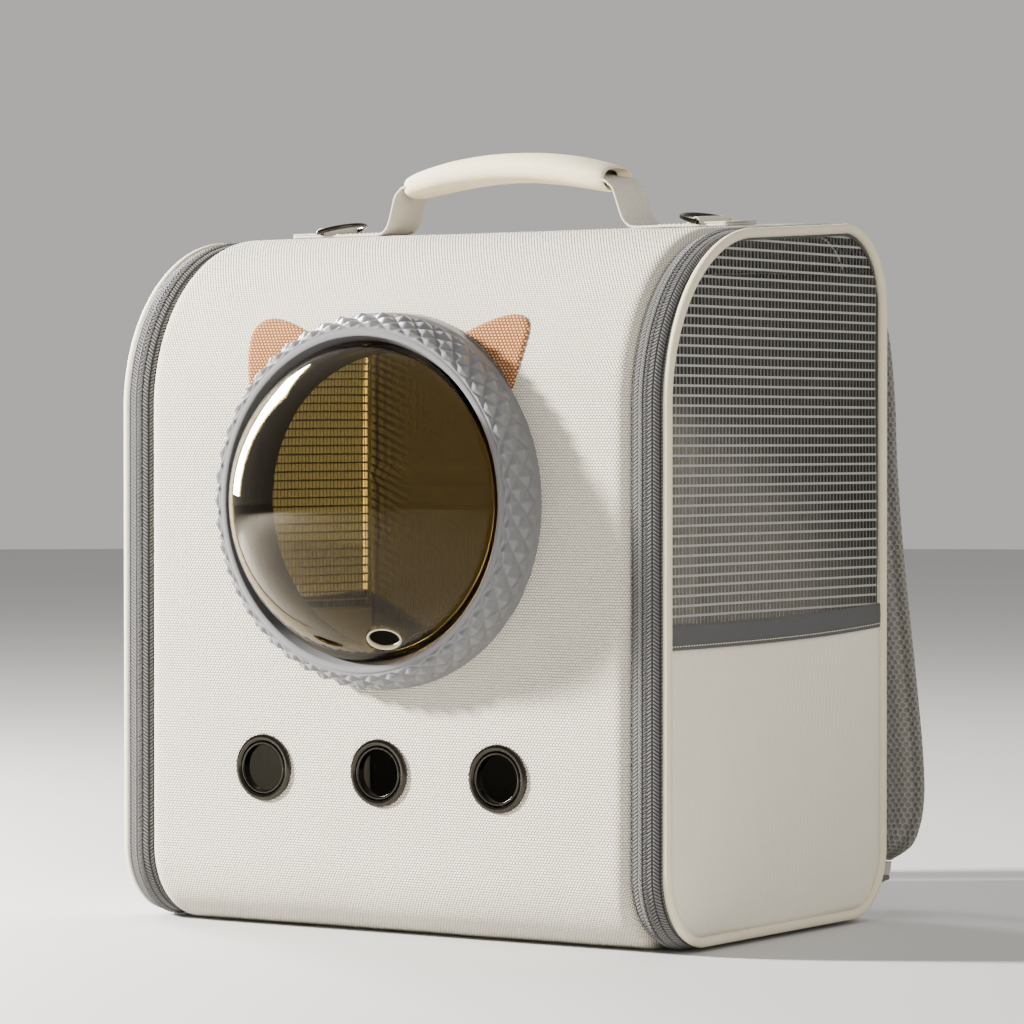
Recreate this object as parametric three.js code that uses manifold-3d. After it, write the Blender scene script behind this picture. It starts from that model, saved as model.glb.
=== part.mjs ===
import * as THREE from "three";
import { mergeVertices } from "three/addons/utils/BufferGeometryUtils.js";
import Module from "manifold-3d";

const wasm = await Module();
wasm.setup();

// Sizes in millimetres. X runs across the bag, its front faces -Y, and it stands on z = 0.
const bodyWidth = 390;
const bodyDepth = 266;
const frontHeight = 411;
const backHeight = 427;
const frontTopRadius = 105;
const backTopRadius = 50;
const backBottomRadius = 42;
const frontBottomRadius = 46;
const clearance = 0.3;

// Shell, back and the seams round each side
const shellWall = 3;
const backPad = 8;
const backSeamAngle = THREE.MathUtils.degToRad(28);
const bottomSeamAngle = THREE.MathUtils.degToRad(-45);
const pipingWidth = 6.4;
const pipingRoll = 6.4;
const tapeWidth = 14;
const tapeRise = 3.9;
const zipWidth = 17.5;
const zipDepth = 7;
const zipTape = 1.4;
const zipCoilWidth = 6.4;
const zipCoilRise = 2.4;
const shellEdge = 9;
const sliderLength = 12;
const sliderHeight = 3;
const sliderPull = 16;
const sliderAngle = THREE.MathUtils.degToRad(52);

// Sides
const sideCloth = 1.4;
const bandLow = 173.6;
const bandHeight = 14.7;
const bandCloth = 1.6;
const bandLift = 5;
const pocketCloth = 1.4;
const pocketBulge = 3;
const meshOverlap = 7;
const rowCrowding = 1.8;

// Bubble
const bubbleBelowTop = 154;
const bubbleShift = 3.3;
const ringRadius = 110.3;
const ringHeight = 25;
const lipRadius = 96;
const lipWidth = 4;
const holeRadius = 90;
const quiltCount = 46;
const quiltSteps = 5;
const quiltRise = 1;
const seatHeight = 4;
const domeRadius = 92.8;
const domeRise = 61;
const domeEdge = 22.5;
const domeWall = 2.2;
const ventRadius = 9.7;
const ventTilt = THREE.MathUtils.degToRad(56);
const ventTurn = THREE.MathUtils.degToRad(19);
const collarWall = 2.2;
const collarHeight = 16;
const collarFlange = 13;
const ringSides = 42;

// Ears
const earOuter = 98.5;
const earInner = 50;
const earTop = 365.2;
const earCloth = 1.4;
const earCorner = 13;

// Eyelets
const eyeletSpacing = 83.5;
const eyeletBelowRing = 49.2;
const eyeletRadius = 20;
const eyeletBore = 13.8;
const eyeletBarrel = 1.5;
const eyeletRise = 2.4;
const eyeletSides = 18;

// Handle, whose places run along the top face: x across, y up the slope, z off the face
const handlePlace = 155;
const handleShift = -3;
const webbingWidth = 36;
const webbingCloth = 1.6;
const webbingEnd = 158;
const handleFoot = 89;
const gripHalfLength = 73;
const gripWidth = 42;
const gripThickness = 18;
const gripRise = 39.4;
const gripBow = 9.6;
const loopCloth = 1;

// D-rings
const ringBarPlace = 137;
const wireRadius = 1.4;
const ringReach = 16;
const ringInnerWidth = 40;
const loopNose = 6.5;
const ringTilt = THREE.MathUtils.degToRad(14);

// Shoulder straps
const strapWidth = 72;
const strapPad = 12;
const strapReach = 80;
const strapCentre = 126;
const strapSpread = 26;
const strapEnd = 29;
const strapTop = 398;
const strapWebbingWidth = 25;
const strapWebbingCloth = 1.2;
const strapWebbingHeight = 20;
const anchorPlace = 166;
const anchorLength = 14;
const anchorWidth = 30;
const anchorCloth = 2.4;
const adjusterPlate = 3;
const adjusterBar = 3.2;
const adjusterPitch = 9;
const adjusterRim = 3;
const adjusterPlace = 28;

// A padded strap from its seam down to its rounded end. drop is a share of the height from seam to
// end, out a share of strapReach, spread a share of strapSpread and width a share of strapWidth.
const strapSections = [
  { drop: -0.014, out: 0.1, spread: -0.4, width: 1 },
  { drop: -0.015, out: 0.37, spread: -0.36, width: 1 },
  { drop: 0.02, out: 0.67, spread: -0.32, width: 1 },
  { drop: 0.1, out: 0.91, spread: -0.28, width: 1 },
  { drop: 0.22, out: 0.98, spread: -0.2, width: 1 },
  { drop: 0.33, out: 1, spread: -0.17, width: 1 },
  { drop: 0.48, out: 1, spread: 0, width: 1 },
  { drop: 0.6, out: 0.98, spread: 0.22, width: 1 },
  { drop: 0.72, out: 0.93, spread: 0.5, width: 1 },
  { drop: 0.84, out: 0.85, spread: 0.8, width: 1 },
  { drop: 0.91, out: 0.79, spread: 0.94, width: 0.98 },
  { drop: 0.95, out: 0.76, spread: 1, width: 0.88 },
  { drop: 0.98, out: 0.74, spread: 1, width: 0.68 },
  { drop: 1, out: 0.73, spread: 1, width: 0.36 },
];

// Places worked out from the sizes
const half = bodyWidth / 2;
const front = -bodyDepth / 2;
const back = bodyDepth / 2;
const topSlope = Math.atan2(backHeight - frontHeight, bodyDepth);
const pipingInner = half - pipingWidth;
const zipInner = pipingInner - clearance - zipWidth;
const shellHalf = zipInner - clearance;
const sideFace = pipingInner + sideCloth;
const bubbleHeight = frontHeight - bubbleBelowTop;
const eyeletHeight = bubbleHeight - ringRadius - eyeletBelowRing;

const topAt = (y) => frontHeight + (y - front) * Math.tan(topSlope);

// The four corners of the side outline, in order from the back top round over the front
const corners = [
  { y: back - backTopRadius, r: backTopRadius, from: 0, to: Math.PI / 2 + topSlope, steps: 6 },
  { y: front + frontTopRadius, r: frontTopRadius, from: Math.PI / 2 + topSlope, to: Math.PI, steps: 9 },
  { y: front + frontBottomRadius, r: frontBottomRadius, from: Math.PI, to: 1.5 * Math.PI, steps: 6 },
  { y: back - backBottomRadius, r: backBottomRadius, from: 1.5 * Math.PI, to: 2 * Math.PI, steps: 6 },
];
for (const corner of corners) {
  const above = corner.from < Math.PI && corner.to <= Math.PI;
  corner.z = above ? topAt(corner.y) - corner.r / Math.cos(topSlope) : corner.r;
}
const [backTop, frontTop, frontBottom, backBottom] = corners;

// The places along one corner where the outline turns, between two angles
function turns(corner, from = corner.from, to = corner.to) {
  const steps = Math.max(1, Math.round((corner.steps * (to - from)) / (corner.to - corner.from)));
  return Array.from({ length: steps + 1 }, (_, i) => ({ corner, angle: from + ((to - from) * i) / steps }));
}

// A point of the outline at a place, pulled in from the outer surface by an inset
function outlinePoint({ corner, angle }, inset) {
  const reach = corner.r - inset;
  return { y: corner.y + reach * Math.cos(angle), z: corner.z + reach * Math.sin(angle) };
}

const loopPlaces = corners.flatMap((corner) => turns(corner));
const topSeam = backSeamAngle + clearance / backTopRadius;
const lowSeam = 2 * Math.PI + bottomSeamAngle;
const wrapPlaces = [
  ...turns(backTop, topSeam),
  ...turns(frontTop),
  ...turns(frontBottom),
  ...turns(backBottom, backBottom.from, lowSeam - clearance / backBottomRadius),
];
const backPlaces = [
  ...turns(backBottom, lowSeam + clearance / backBottomRadius),
  ...turns(backTop, 0, backSeamAngle - clearance / backTopRadius),
];

// The outline's front and back y at a height below the top corners
function outlineRange(z, inset) {
  const reach = (corner) => {
    const rise = Math.min(0, z - corner.z);
    return Math.sqrt(Math.max(0, (corner.r - inset) ** 2 - rise ** 2));
  };
  return [frontBottom.y - reach(frontBottom), backBottom.y + reach(backBottom)];
}

// A geometry with its faces turned outwards
function outward(geometry) {
  const position = geometry.getAttribute("position");
  const index = geometry.index.array;
  const [a, b, c] = [new THREE.Vector3(), new THREE.Vector3(), new THREE.Vector3()];
  let volume = 0;
  for (let i = 0; i < index.length; i += 3) {
    a.fromBufferAttribute(position, index[i]);
    b.fromBufferAttribute(position, index[i + 1]);
    c.fromBufferAttribute(position, index[i + 2]);
    volume += a.dot(b.cross(c));
  }
  if (volume < 0) {
    for (let i = 0; i < index.length; i += 3) {
      [index[i + 1], index[i + 2]] = [index[i + 2], index[i + 1]];
    }
  }
  return geometry;
}

// A closed surface through rings of points. Without caps the last ring meets the first.
// crossed says which quads are split along their other diagonal.
function loft(rings, caps, crossed = () => false) {
  const count = rings[0].length;
  const faces = [];
  const spans = caps ? rings.length - 1 : rings.length;
  for (let i = 0; i < spans; i += 1) {
    const a = i * count;
    const b = ((i + 1) % rings.length) * count;
    for (let j = 0; j < count; j += 1) {
      const k = (j + 1) % count;
      if (crossed(i, j)) {
        faces.push(a + j, b + j, b + k, a + j, b + k, a + k);
      } else {
        faces.push(a + j, b + j, a + k, a + k, b + j, b + k);
      }
    }
  }
  const end = (rings.length - 1) * count;
  for (const [p, q, r] of caps || []) {
    faces.push(p, q, r, end + r, end + q, end + p);
  }
  const points = rings.flat().map((p) => new THREE.Vector3(p.x, p.y, p.z));
  return outward(new THREE.BufferGeometry().setFromPoints(points).setIndex(faces));
}

// End faces for a ring whose outline has no three points in line
function outlineCaps(section) {
  const contour = section.map(([x, y]) => new THREE.Vector2(x, y));
  const turned = THREE.ShapeUtils.isClockWise(contour);
  const last = contour.length - 1;
  const faces = THREE.ShapeUtils.triangulateShape(turned ? contour.reverse() : contour, []);
  return turned ? faces.map(([p, q, r]) => [last - r, last - q, last - p]) : faces;
}

// End faces for a flat ring of two facing rows, one out and one back
function rowCaps(count) {
  const last = count - 1;
  const quads = Array.from({ length: count / 2 - 1 }, (_, j) => j);
  return quads.flatMap((j) => [
    [j, j + 1, last - j],
    [j + 1, last - j - 1, last - j],
  ]);
}

// A section of x and inset carried along the side outline
function wrap(section, places, closed = false) {
  const rings = places.map((place) => section.map(([x, inset]) => ({ x, ...outlinePoint(place, inset) })));
  return loft(rings, closed ? null : outlineCaps(section));
}

// The whole outline filled in between two places across the bag
function filled(inset, from, to) {
  const rings = [from, to].map((x) => loopPlaces.map((place) => ({ x, ...outlinePoint(place, inset) })));
  return loft(rings, outlineCaps(rings[0].map((p) => [p.y, p.z])));
}

// A section carried along a path, with one of its directions kept along side
function sweep(path, side, sectionAt, caps) {
  const rings = path.map((point, i) => {
    const before = path[Math.max(0, i - 1)];
    const after = path[Math.min(path.length - 1, i + 1)];
    const along = after.clone().sub(before).normalize();
    const across = side.clone().addScaledVector(along, -side.dot(along)).normalize();
    const up = across.clone().cross(along);
    return sectionAt(i).map(([a, b]) => point.clone().addScaledVector(across, a).addScaledVector(up, b));
  });
  return loft(rings, caps);
}

// A flat band along a path
function ribbon(path, side, width, cloth) {
  const [w, h] = [width / 2, cloth / 2];
  const section = [[-w, -h], [w, -h], [w, h], [-w, h]];
  return sweep(path, side, () => section, rowCaps(4));
}

// A flat oval section with its sides rounded in steps
function pillow(width, thickness, steps = 3) {
  const r = thickness / 2;
  const flat = width / 2 - r;
  const side = (sign) => Array.from({ length: steps + 1 }, (_, i) => {
    const angle = -Math.PI / 2 + (Math.PI * i) / steps;
    return [sign * (flat + r * Math.cos(angle)), sign * r * Math.sin(angle)];
  });
  return [...side(1), ...side(-1)];
}

function solid(geometry) {
  const bare = new THREE.BufferGeometry();
  bare.setAttribute("position", geometry.getAttribute("position"));
  bare.setIndex(geometry.index);
  const merged = mergeVertices(bare, 1e-3);
  const index = merged.index.array;
  const triVerts = [];
  for (let i = 0; i < index.length; i += 3) {
    const [a, b, c] = index.slice(i, i + 3);
    if (a !== b && b !== c && c !== a) {
      triVerts.push(a, b, c);
    }
  }
  const vertProperties = merged.getAttribute("position").array;
  return new wasm.Manifold(new wasm.Mesh({ numProp: 3, vertProperties, triVerts: new Uint32Array(triVerts) }));
}

function geometryOf(shape) {
  const mesh = shape.getMesh();
  const geometry = new THREE.BufferGeometry();
  geometry.setAttribute("position", new THREE.BufferAttribute(mesh.vertProperties, 3));
  return geometry.setIndex(new THREE.BufferAttribute(mesh.triVerts, 1));
}

// A turned shape about the bubble's axis. Its profile gives radius and height off the front.
function turned(profile, sides, closed = true) {
  const points = profile.map(([r, t]) => new THREE.Vector2(r, t));
  if (closed) {
    points.push(points[0].clone());
  }
  return outward(new THREE.LatheGeometry(points, sides));
}

function ontoFront(geometry, x, z) {
  return geometry.rotateX(Math.PI).translate(x, front, z);
}

function frontCylinder(radius, x, z, sides) {
  return new THREE.CylinderGeometry(radius, radius, bodyDepth / 2, sides).translate(x, front, z);
}

// Materials, in the colours of the real cloth, plastic and metal
function material(color, roughness, metalness = 0) {
  return new THREE.MeshStandardMaterial({ color, roughness, metalness });
}
const ivoryCloth = material(0xe6e2d6, 0.9);
const pocketClothColour = material(0xe2ddcf, 0.92);
const pipingCloth = material(0xcdc8b4, 0.85);
const zipCloth = material(0x66645f, 0.8);
const bandElastic = material(0x58585a, 0.9);
const greyNet = material(0x8c8c8a, 0.85);
const backMesh = material(0x6b6a66, 0.95);
const ringPlastic = material(0x969ba5, 0.4);
const collarPlastic = material(0x3a332a, 0.5);
const amber = new THREE.MeshStandardMaterial({ color: 0x8a5a1c, roughness: 0.08, transparent: true, opacity: 0.55 });
const tanWeave = material(0xcd966e, 0.9);
const blackNickel = material(0x2b2b2d, 0.25, 1);
const creamCloth = material(0xebe6d2, 0.85);
const strapWebbing = material(0xc9c4b6, 0.85);
const darkPlastic = material(0x2a2a2c, 0.5);

const bag = new THREE.Group();

function piece(name, geometry, look, group = bag) {
  geometry.computeVertexNormals();
  const mesh = new THREE.Mesh(geometry, look);
  mesh.name = name;
  group.add(mesh);
  return mesh;
}

const sides = [
  { label: "left", sign: -1 },
  { label: "right", sign: 1 },
];

// Shell: a rounded edge runs down beside each zip
function frontShell() {
  const outer = [[0, 0], [0.45, 0.06], [0.78, 0.3], [0.95, 0.62], [1, 1]];
  const inner = [[0, 0], [0.5, 0.12], [0.82, 0.42], [1, 1]];
  const outerHalf = outer.map(([across, down]) => [
    shellHalf - shellEdge + shellEdge * across,
    (zipDepth + zipTape) * down,
  ]);
  const innerHalf = inner.map(([across, down]) => [
    shellHalf - shellEdge + (shellEdge - shellWall) * across,
    shellWall + (zipDepth + zipTape - shellWall) * down,
  ]);
  const mirrored = (points) => points.map(([x, inset]) => [-x, inset]);
  const section = [
    ...mirrored(outerHalf).reverse(),
    ...outerHalf,
    ...innerHalf.slice().reverse(),
    ...mirrored(innerHalf),
  ];
  let shape = solid(wrap(section, wrapPlaces));
  shape = shape.subtract(solid(frontCylinder(holeRadius, bubbleShift, bubbleHeight, ringSides)));
  for (const x of [-eyeletSpacing, 0, eyeletSpacing]) {
    const radius = eyeletBore + eyeletBarrel + clearance;
    shape = shape.subtract(solid(frontCylinder(radius, x, eyeletHeight, eyeletSides)));
  }
  return geometryOf(shape);
}
piece("front_shell", frontShell(), ivoryCloth);

function backPanel() {
  const edge = pipingInner - clearance;
  const round = backPad / 2;
  const section = [
    [-edge, round],
    [-edge + round / 3, round / 4],
    [-edge + round, 0],
    [edge - round, 0],
    [edge - round / 3, round / 4],
    [edge, round],
    [edge, backPad],
    [-edge, backPad],
  ];
  return wrap(section, backPlaces);
}
piece("back_panel", backPanel(), backMesh);

// The piping's roll stands on the outer corner, and its tape lies on the side with one flat rib
function binding(sign) {
  const roll = pipingWidth;
  const foot = sideFace + clearance;
  const tapeFace = pipingInner + tapeRise;
  const section = [
    [pipingInner, pipingRoll],
    [pipingInner, 0.3 * pipingRoll],
    [pipingInner + 0.25 * roll, 0.07 * pipingRoll],
    [pipingInner + 0.53 * roll, 0],
    [pipingInner + 0.87 * roll, 0.17 * pipingRoll],
    [half, 0.5 * pipingRoll],
    [tapeFace, pipingRoll],
    [tapeFace + clearance, pipingRoll + 0.3 * (tapeWidth - pipingRoll)],
    [tapeFace, tapeWidth],
    [foot, tapeWidth],
    [foot, pipingRoll + clearance],
  ];
  return wrap(section.map(([x, inset]) => [sign * x, inset]), loopPlaces, true);
}

function zip(sign) {
  const low = zipInner;
  const high = pipingInner - clearance;
  const middle = (low + high) / 2;
  const section = [
    [low, zipDepth],
    [middle - zipCoilWidth / 2, zipDepth],
    [middle, zipDepth - zipCoilRise],
    [middle + zipCoilWidth / 2, zipDepth],
    [high, zipDepth],
    [high, zipDepth + zipTape],
    [low, zipDepth + zipTape],
  ];
  return wrap(section.map(([x, inset]) => [sign * x, inset]), wrapPlaces);
}

// A slider over the coil, with its pull lying back along the zip
function zipSlider() {
  const shape = new THREE.Shape();
  shape.moveTo(-sliderLength / 2, 0);
  shape.lineTo(sliderLength / 2, 0);
  shape.lineTo(sliderLength / 2, sliderHeight);
  shape.lineTo(-sliderLength / 2 - sliderPull, sliderHeight);
  shape.lineTo(-sliderLength / 2 - sliderPull, sliderHeight / 2);
  shape.lineTo(-sliderLength / 2, sliderHeight / 2);
  const geometry = new THREE.ExtrudeGeometry(shape, { depth: zipCoilWidth, bevelEnabled: false });
  return geometry.translate(0, 0, -zipCoilWidth / 2);
}

const sliderPlace = { corner: backTop, angle: sliderAngle };
const sliderSag = (sliderLength / 2) ** 2 / (2 * backTopRadius);
for (const { label, sign } of sides) {
  piece("binding_" + label, binding(sign), pipingCloth);
  piece("zip_" + label, zip(sign), zipCloth);
  const seat = new THREE.Group();
  const at = outlinePoint(sliderPlace, zipDepth - zipCoilRise - clearance);
  seat.position.set(sign * (zipInner + zipWidth / 2), at.y, at.z);
  seat.quaternion.setFromRotationMatrix(
    new THREE.Matrix4().makeBasis(
      new THREE.Vector3(0, -Math.sin(sliderAngle), Math.cos(sliderAngle)),
      new THREE.Vector3(0, Math.cos(sliderAngle), Math.sin(sliderAngle)),
      new THREE.Vector3(-1, 0, 0),
    ),
  );
  bag.add(seat);
  const slider = piece("zip_slider_" + label, zipSlider(), darkPlastic, seat);
  slider.position.y = -sliderSag / 4;
}

// Sides: net above, cloth below, and a pocket with an elastic top
const sideInset = pipingRoll + clearance;
const splitHeight = bandLow + meshOverlap;

function sidePlate(sign, low, high) {
  const plate = solid(filled(sideInset, sign * pipingInner, sign * sideFace));
  const box = new THREE.BoxGeometry(bodyWidth + 2 * tapeWidth, bodyDepth, high - low);
  return geometryOf(plate.intersect(solid(box.translate(0, 0, (low + high) / 2))));
}

// A sheet on the side between two heights, standing off it by a bulge that falls to its edges
function sideSheet(sign, lowAt, highAt, cloth, bulge, rows, columns) {
  const inset = tapeWidth + clearance;
  const base = sideFace + clearance;
  const spot = (u, v, off) => {
    const [from, to] = outlineRange(lowAt(0.5) + (highAt(0.5) - lowAt(0.5)) * v, inset);
    const swell = bulge * (1 - (2 * u - 1) ** 4) * (1 - (2 * v - 1) ** 2);
    const z = lowAt(u) + (highAt(u) - lowAt(u)) * v;
    return { x: sign * (base + off + swell), y: from + (to - from) * u, z };
  };
  const shares = Array.from({ length: columns + 1 }, (_, i) => i / columns);
  const rings = Array.from({ length: rows + 1 }, (_, j) => {
    const share = (j / rows) ** rowCrowding;
    const outer = shares.map((u) => spot(u, share, cloth));
    const inner = shares.map((u) => spot(u, share, 0)).reverse();
    return [...outer, ...inner];
  });
  return loft(rings, rowCaps(2 * columns + 2));
}

const bandRise = (u) => bandLift * u ** 3;
for (const { label, sign } of sides) {
  piece("side_mesh_" + label, sidePlate(sign, splitHeight + clearance, backHeight), greyNet);
  piece("side_wall_" + label, sidePlate(sign, 0, splitHeight), ivoryCloth);
  const pocketLow = () => tapeWidth + clearance;
  const pocketHigh = (u) => bandLow - clearance + bandRise(u);
  const pocket = sideSheet(sign, pocketLow, pocketHigh, pocketCloth, pocketBulge, 8, 7);
  piece("side_pocket_" + label, pocket, pocketClothColour);
  const bandBottom = (u) => bandLow + bandRise(u);
  const bandTop = (u) => bandLow + bandHeight + bandRise(u);
  const band = sideSheet(sign, bandBottom, bandTop, bandCloth, 0, 1, 6);
  piece("pocket_band_" + label, band, bandElastic);
}

// Bubble ring, whose foot follows the shell and whose side is quilted in diamonds
function bubbleRing() {
  const skirt = -frontTopRadius / 3;
  const shoulder = lipRadius + lipWidth;
  const inner = domeRadius + clearance;
  const side = Array.from({ length: quiltSteps + 1 }, (_, j) => {
    const turn = (Math.PI / 2) * (0.06 + (0.86 * j) / quiltSteps);
    const across = new THREE.Vector2(Math.sin(turn), Math.cos(turn));
    return {
      at: new THREE.Vector2(
        shoulder + (ringRadius - shoulder - quiltRise) * across.x,
        ringHeight * across.y,
      ),
      out: across,
      rise: j % quiltSteps === 0 ? 0 : quiltRise,
    };
  });
  const rest = [
    [ringRadius, 0],
    [ringRadius, skirt],
    [holeRadius + clearance, skirt],
    [holeRadius + clearance, seatHeight],
    [inner, seatHeight],
    [inner, domeEdge - lipWidth],
    [lipRadius, ringHeight],
  ];
  const rings = Array.from({ length: 2 * quiltCount }, (_, a) => {
    const angle = (Math.PI * a) / quiltCount;
    const spin = ([r, t]) => ({ x: r * Math.sin(angle), y: t, z: r * Math.cos(angle) });
    const quilted = side.map(({ at, out, rise }, j) => {
      const lift = (a + j) % 2 ? rise : 0;
      return spin([at.x + out.x * lift, at.y + out.y * lift]);
    });
    return [...quilted, ...rest.map(spin)];
  });
  const ring = loft(rings, null, (a, j) => (a + j) % 2 === 0);
  const body = solid(filled(-clearance, -half, half));
  return geometryOf(solid(ontoFront(ring, bubbleShift, bubbleHeight)).subtract(body));
}
piece("bubble_ring", bubbleRing(), ringPlastic);

// A sleeve through the shell's hole, with a flange that follows the shell's inner face
function bubbleCollar() {
  const bore = holeRadius - clearance - collarWall;
  const deep = -frontTopRadius / 2;
  const sleeve = [
    [holeRadius - clearance, collarHeight],
    [bore, collarHeight],
    [bore, deep],
    [holeRadius - clearance, deep],
  ];
  const flange = [
    [holeRadius - collarWall, 0],
    [bore, 0],
    [bore, deep],
    [bore + collarFlange, deep],
    [bore + collarFlange, 0],
  ];
  const seat = shellWall + clearance;
  const inside = solid(filled(seat, -half, half));
  const deeper = solid(filled(seat + collarWall, -half, half));
  const wide = solid(ontoFront(turned(flange, ringSides), bubbleShift, bubbleHeight)).intersect(inside);
  const tube = solid(ontoFront(turned(sleeve, ringSides), bubbleShift, bubbleHeight));
  return geometryOf(tube.add(wide).subtract(deeper));
}
piece("bubble_collar", bubbleCollar(), collarPlastic);

// Dome: a cap of a sphere on a short skirt that stands on the ring's inner ledge, with one air hole
const domeSphere = (domeRadius ** 2 + domeRise ** 2) / (2 * domeRise);
const domeCentre = domeEdge + domeRise - domeSphere;

function bubbleDome() {
  const arc = (radius, steps) => {
    const span = Math.acos(Math.min(1, (domeEdge - domeCentre) / radius));
    return Array.from({ length: steps + 1 }, (_, i) => {
      const angle = (span * i) / steps;
      return [radius * Math.sin(angle), domeCentre + radius * Math.cos(angle)];
    });
  };
  const foot = seatHeight + clearance;
  const profile = [
    ...arc(domeSphere, 8),
    [domeRadius, foot],
    [domeRadius - domeWall, foot],
    ...arc(domeSphere - domeWall, 6).reverse(),
  ];
  const dome = solid(ontoFront(turned(profile, ringSides, false), bubbleShift, bubbleHeight));
  const drill = new THREE.CylinderGeometry(ventRadius, ventRadius, domeRise, 20);
  drill.translate(0, domeSphere, 0).rotateX(ventTilt).rotateY(ventTurn);
  drill.translate(0, domeCentre, 0);
  return geometryOf(dome.subtract(solid(ontoFront(drill, bubbleShift, bubbleHeight))));
}
piece("bubble_dome", bubbleDome(), amber);

// Ears: cloth patches that follow the shell and stop at the ring
function ear(sign) {
  const shape = new THREE.Shape();
  const low = bubbleHeight + ringRadius / 3;
  const outer = earOuter;
  shape.moveTo(earInner, low);
  shape.lineTo(earInner, earTop - earCorner);
  shape.quadraticCurveTo(earInner + 1.6 * earCorner, earTop - 0.1 * earCorner, outer - earCorner, earTop);
  shape.quadraticCurveTo(outer + 0.2 * earCorner, earTop, outer, earTop - 1.3 * earCorner);
  shape.quadraticCurveTo(outer - 0.1 * earCorner, earTop - 2.6 * earCorner, outer - earCorner, low);
  const prism = new THREE.ExtrudeGeometry(shape, { depth: bodyDepth / 2, bevelEnabled: false, curveSegments: 7 });
  prism.rotateX(Math.PI / 2);
  const edge = half - zipWidth;
  const skin = [[-edge, -clearance], [edge, -clearance], [edge, -clearance - earCloth], [-edge, -clearance - earCloth]];
  const patch = sign < 0 ? new THREE.Matrix4().makeScale(-1, 1, 1) : new THREE.Matrix4();
  const flat = outward(indexed(prism.applyMatrix4(patch)));
  const ring = solid(frontCylinder(ringRadius + clearance, bubbleShift, bubbleHeight, 2 * quiltCount));
  return geometryOf(solid(flat).intersect(solid(wrap(skin, loopPlaces, true))).subtract(ring));
}

// A geometry whose triangles have an index
function indexed(geometry) {
  const bare = new THREE.BufferGeometry();
  bare.setAttribute("position", geometry.getAttribute("position"));
  return mergeVertices(bare, 1e-3);
}

// Eyelets: a crown in front and a rolled back, joined by a barrel through the shell
function eyelet() {
  const outer = eyeletBore + eyeletBarrel;
  const behind = -shellWall - clearance;
  const profile = [
    [outer, clearance],
    [eyeletRadius, clearance],
    [eyeletRadius - eyeletRise, eyeletRise],
    [eyeletBore + eyeletRise, eyeletRise],
    [eyeletBore, 0.4 * eyeletRise],
    [eyeletBore, behind - eyeletBarrel],
    [eyeletRadius - eyeletRise, behind - eyeletBarrel],
    [eyeletRadius - eyeletRise, behind],
    [outer, behind],
  ];
  return turned(profile, eyeletSides);
}

for (const { label, sign } of sides) {
  piece("ear_" + label, ear(sign), tanWeave);
}
["left", "middle", "right"].forEach((label, i) => {
  const geometry = ontoFront(eyelet(), (i - 1) * eyeletSpacing, eyeletHeight);
  piece("eyelet_" + label, geometry, blackNickel);
});

// Handle
const handle = new THREE.Group();
handle.position.set(handleShift, front + handlePlace, topAt(front + handlePlace));
handle.rotation.x = topSlope;
bag.add(handle);
const slopeWard = new THREE.Vector3(0, 1, 0);
const gripHeight = (x) => gripRise - gripBow * (x / gripHalfLength) ** 2;
const gripPlaces = Array.from({ length: 9 }, (_, i) => gripHalfLength * (-1 + i / 4));

function handleWebbing() {
  const low = clearance + webbingCloth / 2;
  const gripEnd = gripHeight(gripHalfLength);
  const leg = handleFoot - gripHalfLength;
  const rising = [
    [webbingEnd, low],
    [handleFoot + 0.3 * leg, low],
    [handleFoot, low + 0.06 * gripEnd],
    [handleFoot - 0.25 * leg, low + 0.24 * gripEnd],
    [gripHalfLength + 0.42 * leg, 0.8 * gripEnd],
    [gripHalfLength + 0.2 * leg, 0.93 * gripEnd],
  ];
  const path = [
    ...rising.map(([x, z]) => [-x, z]),
    ...gripPlaces.map((x) => [x, gripHeight(x)]),
    ...rising.slice().reverse(),
  ].map(([x, z]) => new THREE.Vector3(x, 0, z));
  return ribbon(path, slopeWard, webbingWidth, webbingCloth);
}
piece("handle_webbing", handleWebbing(), strapWebbing, handle);

// The padded wrap is a tube round the webbing, thinner at its ends
function handleGrip() {
  const path = (reach) => gripPlaces.map((x) => new THREE.Vector3(x * reach, 0, gripHeight(x * reach)));
  const thin = (i) => gripThickness * (1 - 0.22 * (i / 4 - 1) ** 4);
  const section = (i) => pillow(gripWidth, thin(i), 4);
  const caps = outlineCaps(pillow(gripWidth, gripThickness, 4));
  const outer = sweep(path(1), slopeWard, section, caps);
  const slot = ribbon(path(1.05), slopeWard, webbingWidth + 2 * clearance, webbingCloth + 4 * clearance);
  return geometryOf(solid(outer).subtract(solid(slot)));
}
piece("handle_grip", handleGrip(), creamCloth, handle);

const loopLow = clearance + webbingCloth + clearance;
const barHeight = loopLow + wireRadius;

// A short webbing over the D-ring's bar, flat on the handle's webbing to each side of it
function ringLoop(sign) {
  const bend = wireRadius + clearance + loopCloth / 2;
  const low = loopLow + loopCloth / 2;
  const hump = [-60, -30, 0, 30, 60].map((degrees) => {
    const angle = THREE.MathUtils.degToRad(degrees);
    return [ringBarPlace + bend * Math.sin(angle), barHeight + bend * Math.cos(angle)];
  });
  const path = [
    [ringBarPlace - loopNose, low],
    [ringBarPlace - 1.45 * bend, low],
    ...hump,
    [ringBarPlace + 1.45 * bend, low],
    [webbingEnd, low],
  ];
  const points = path.map(([x, z]) => new THREE.Vector3(sign * x, 0, z));
  return ribbon(points, slopeWard, webbingWidth, loopCloth);
}

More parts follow.
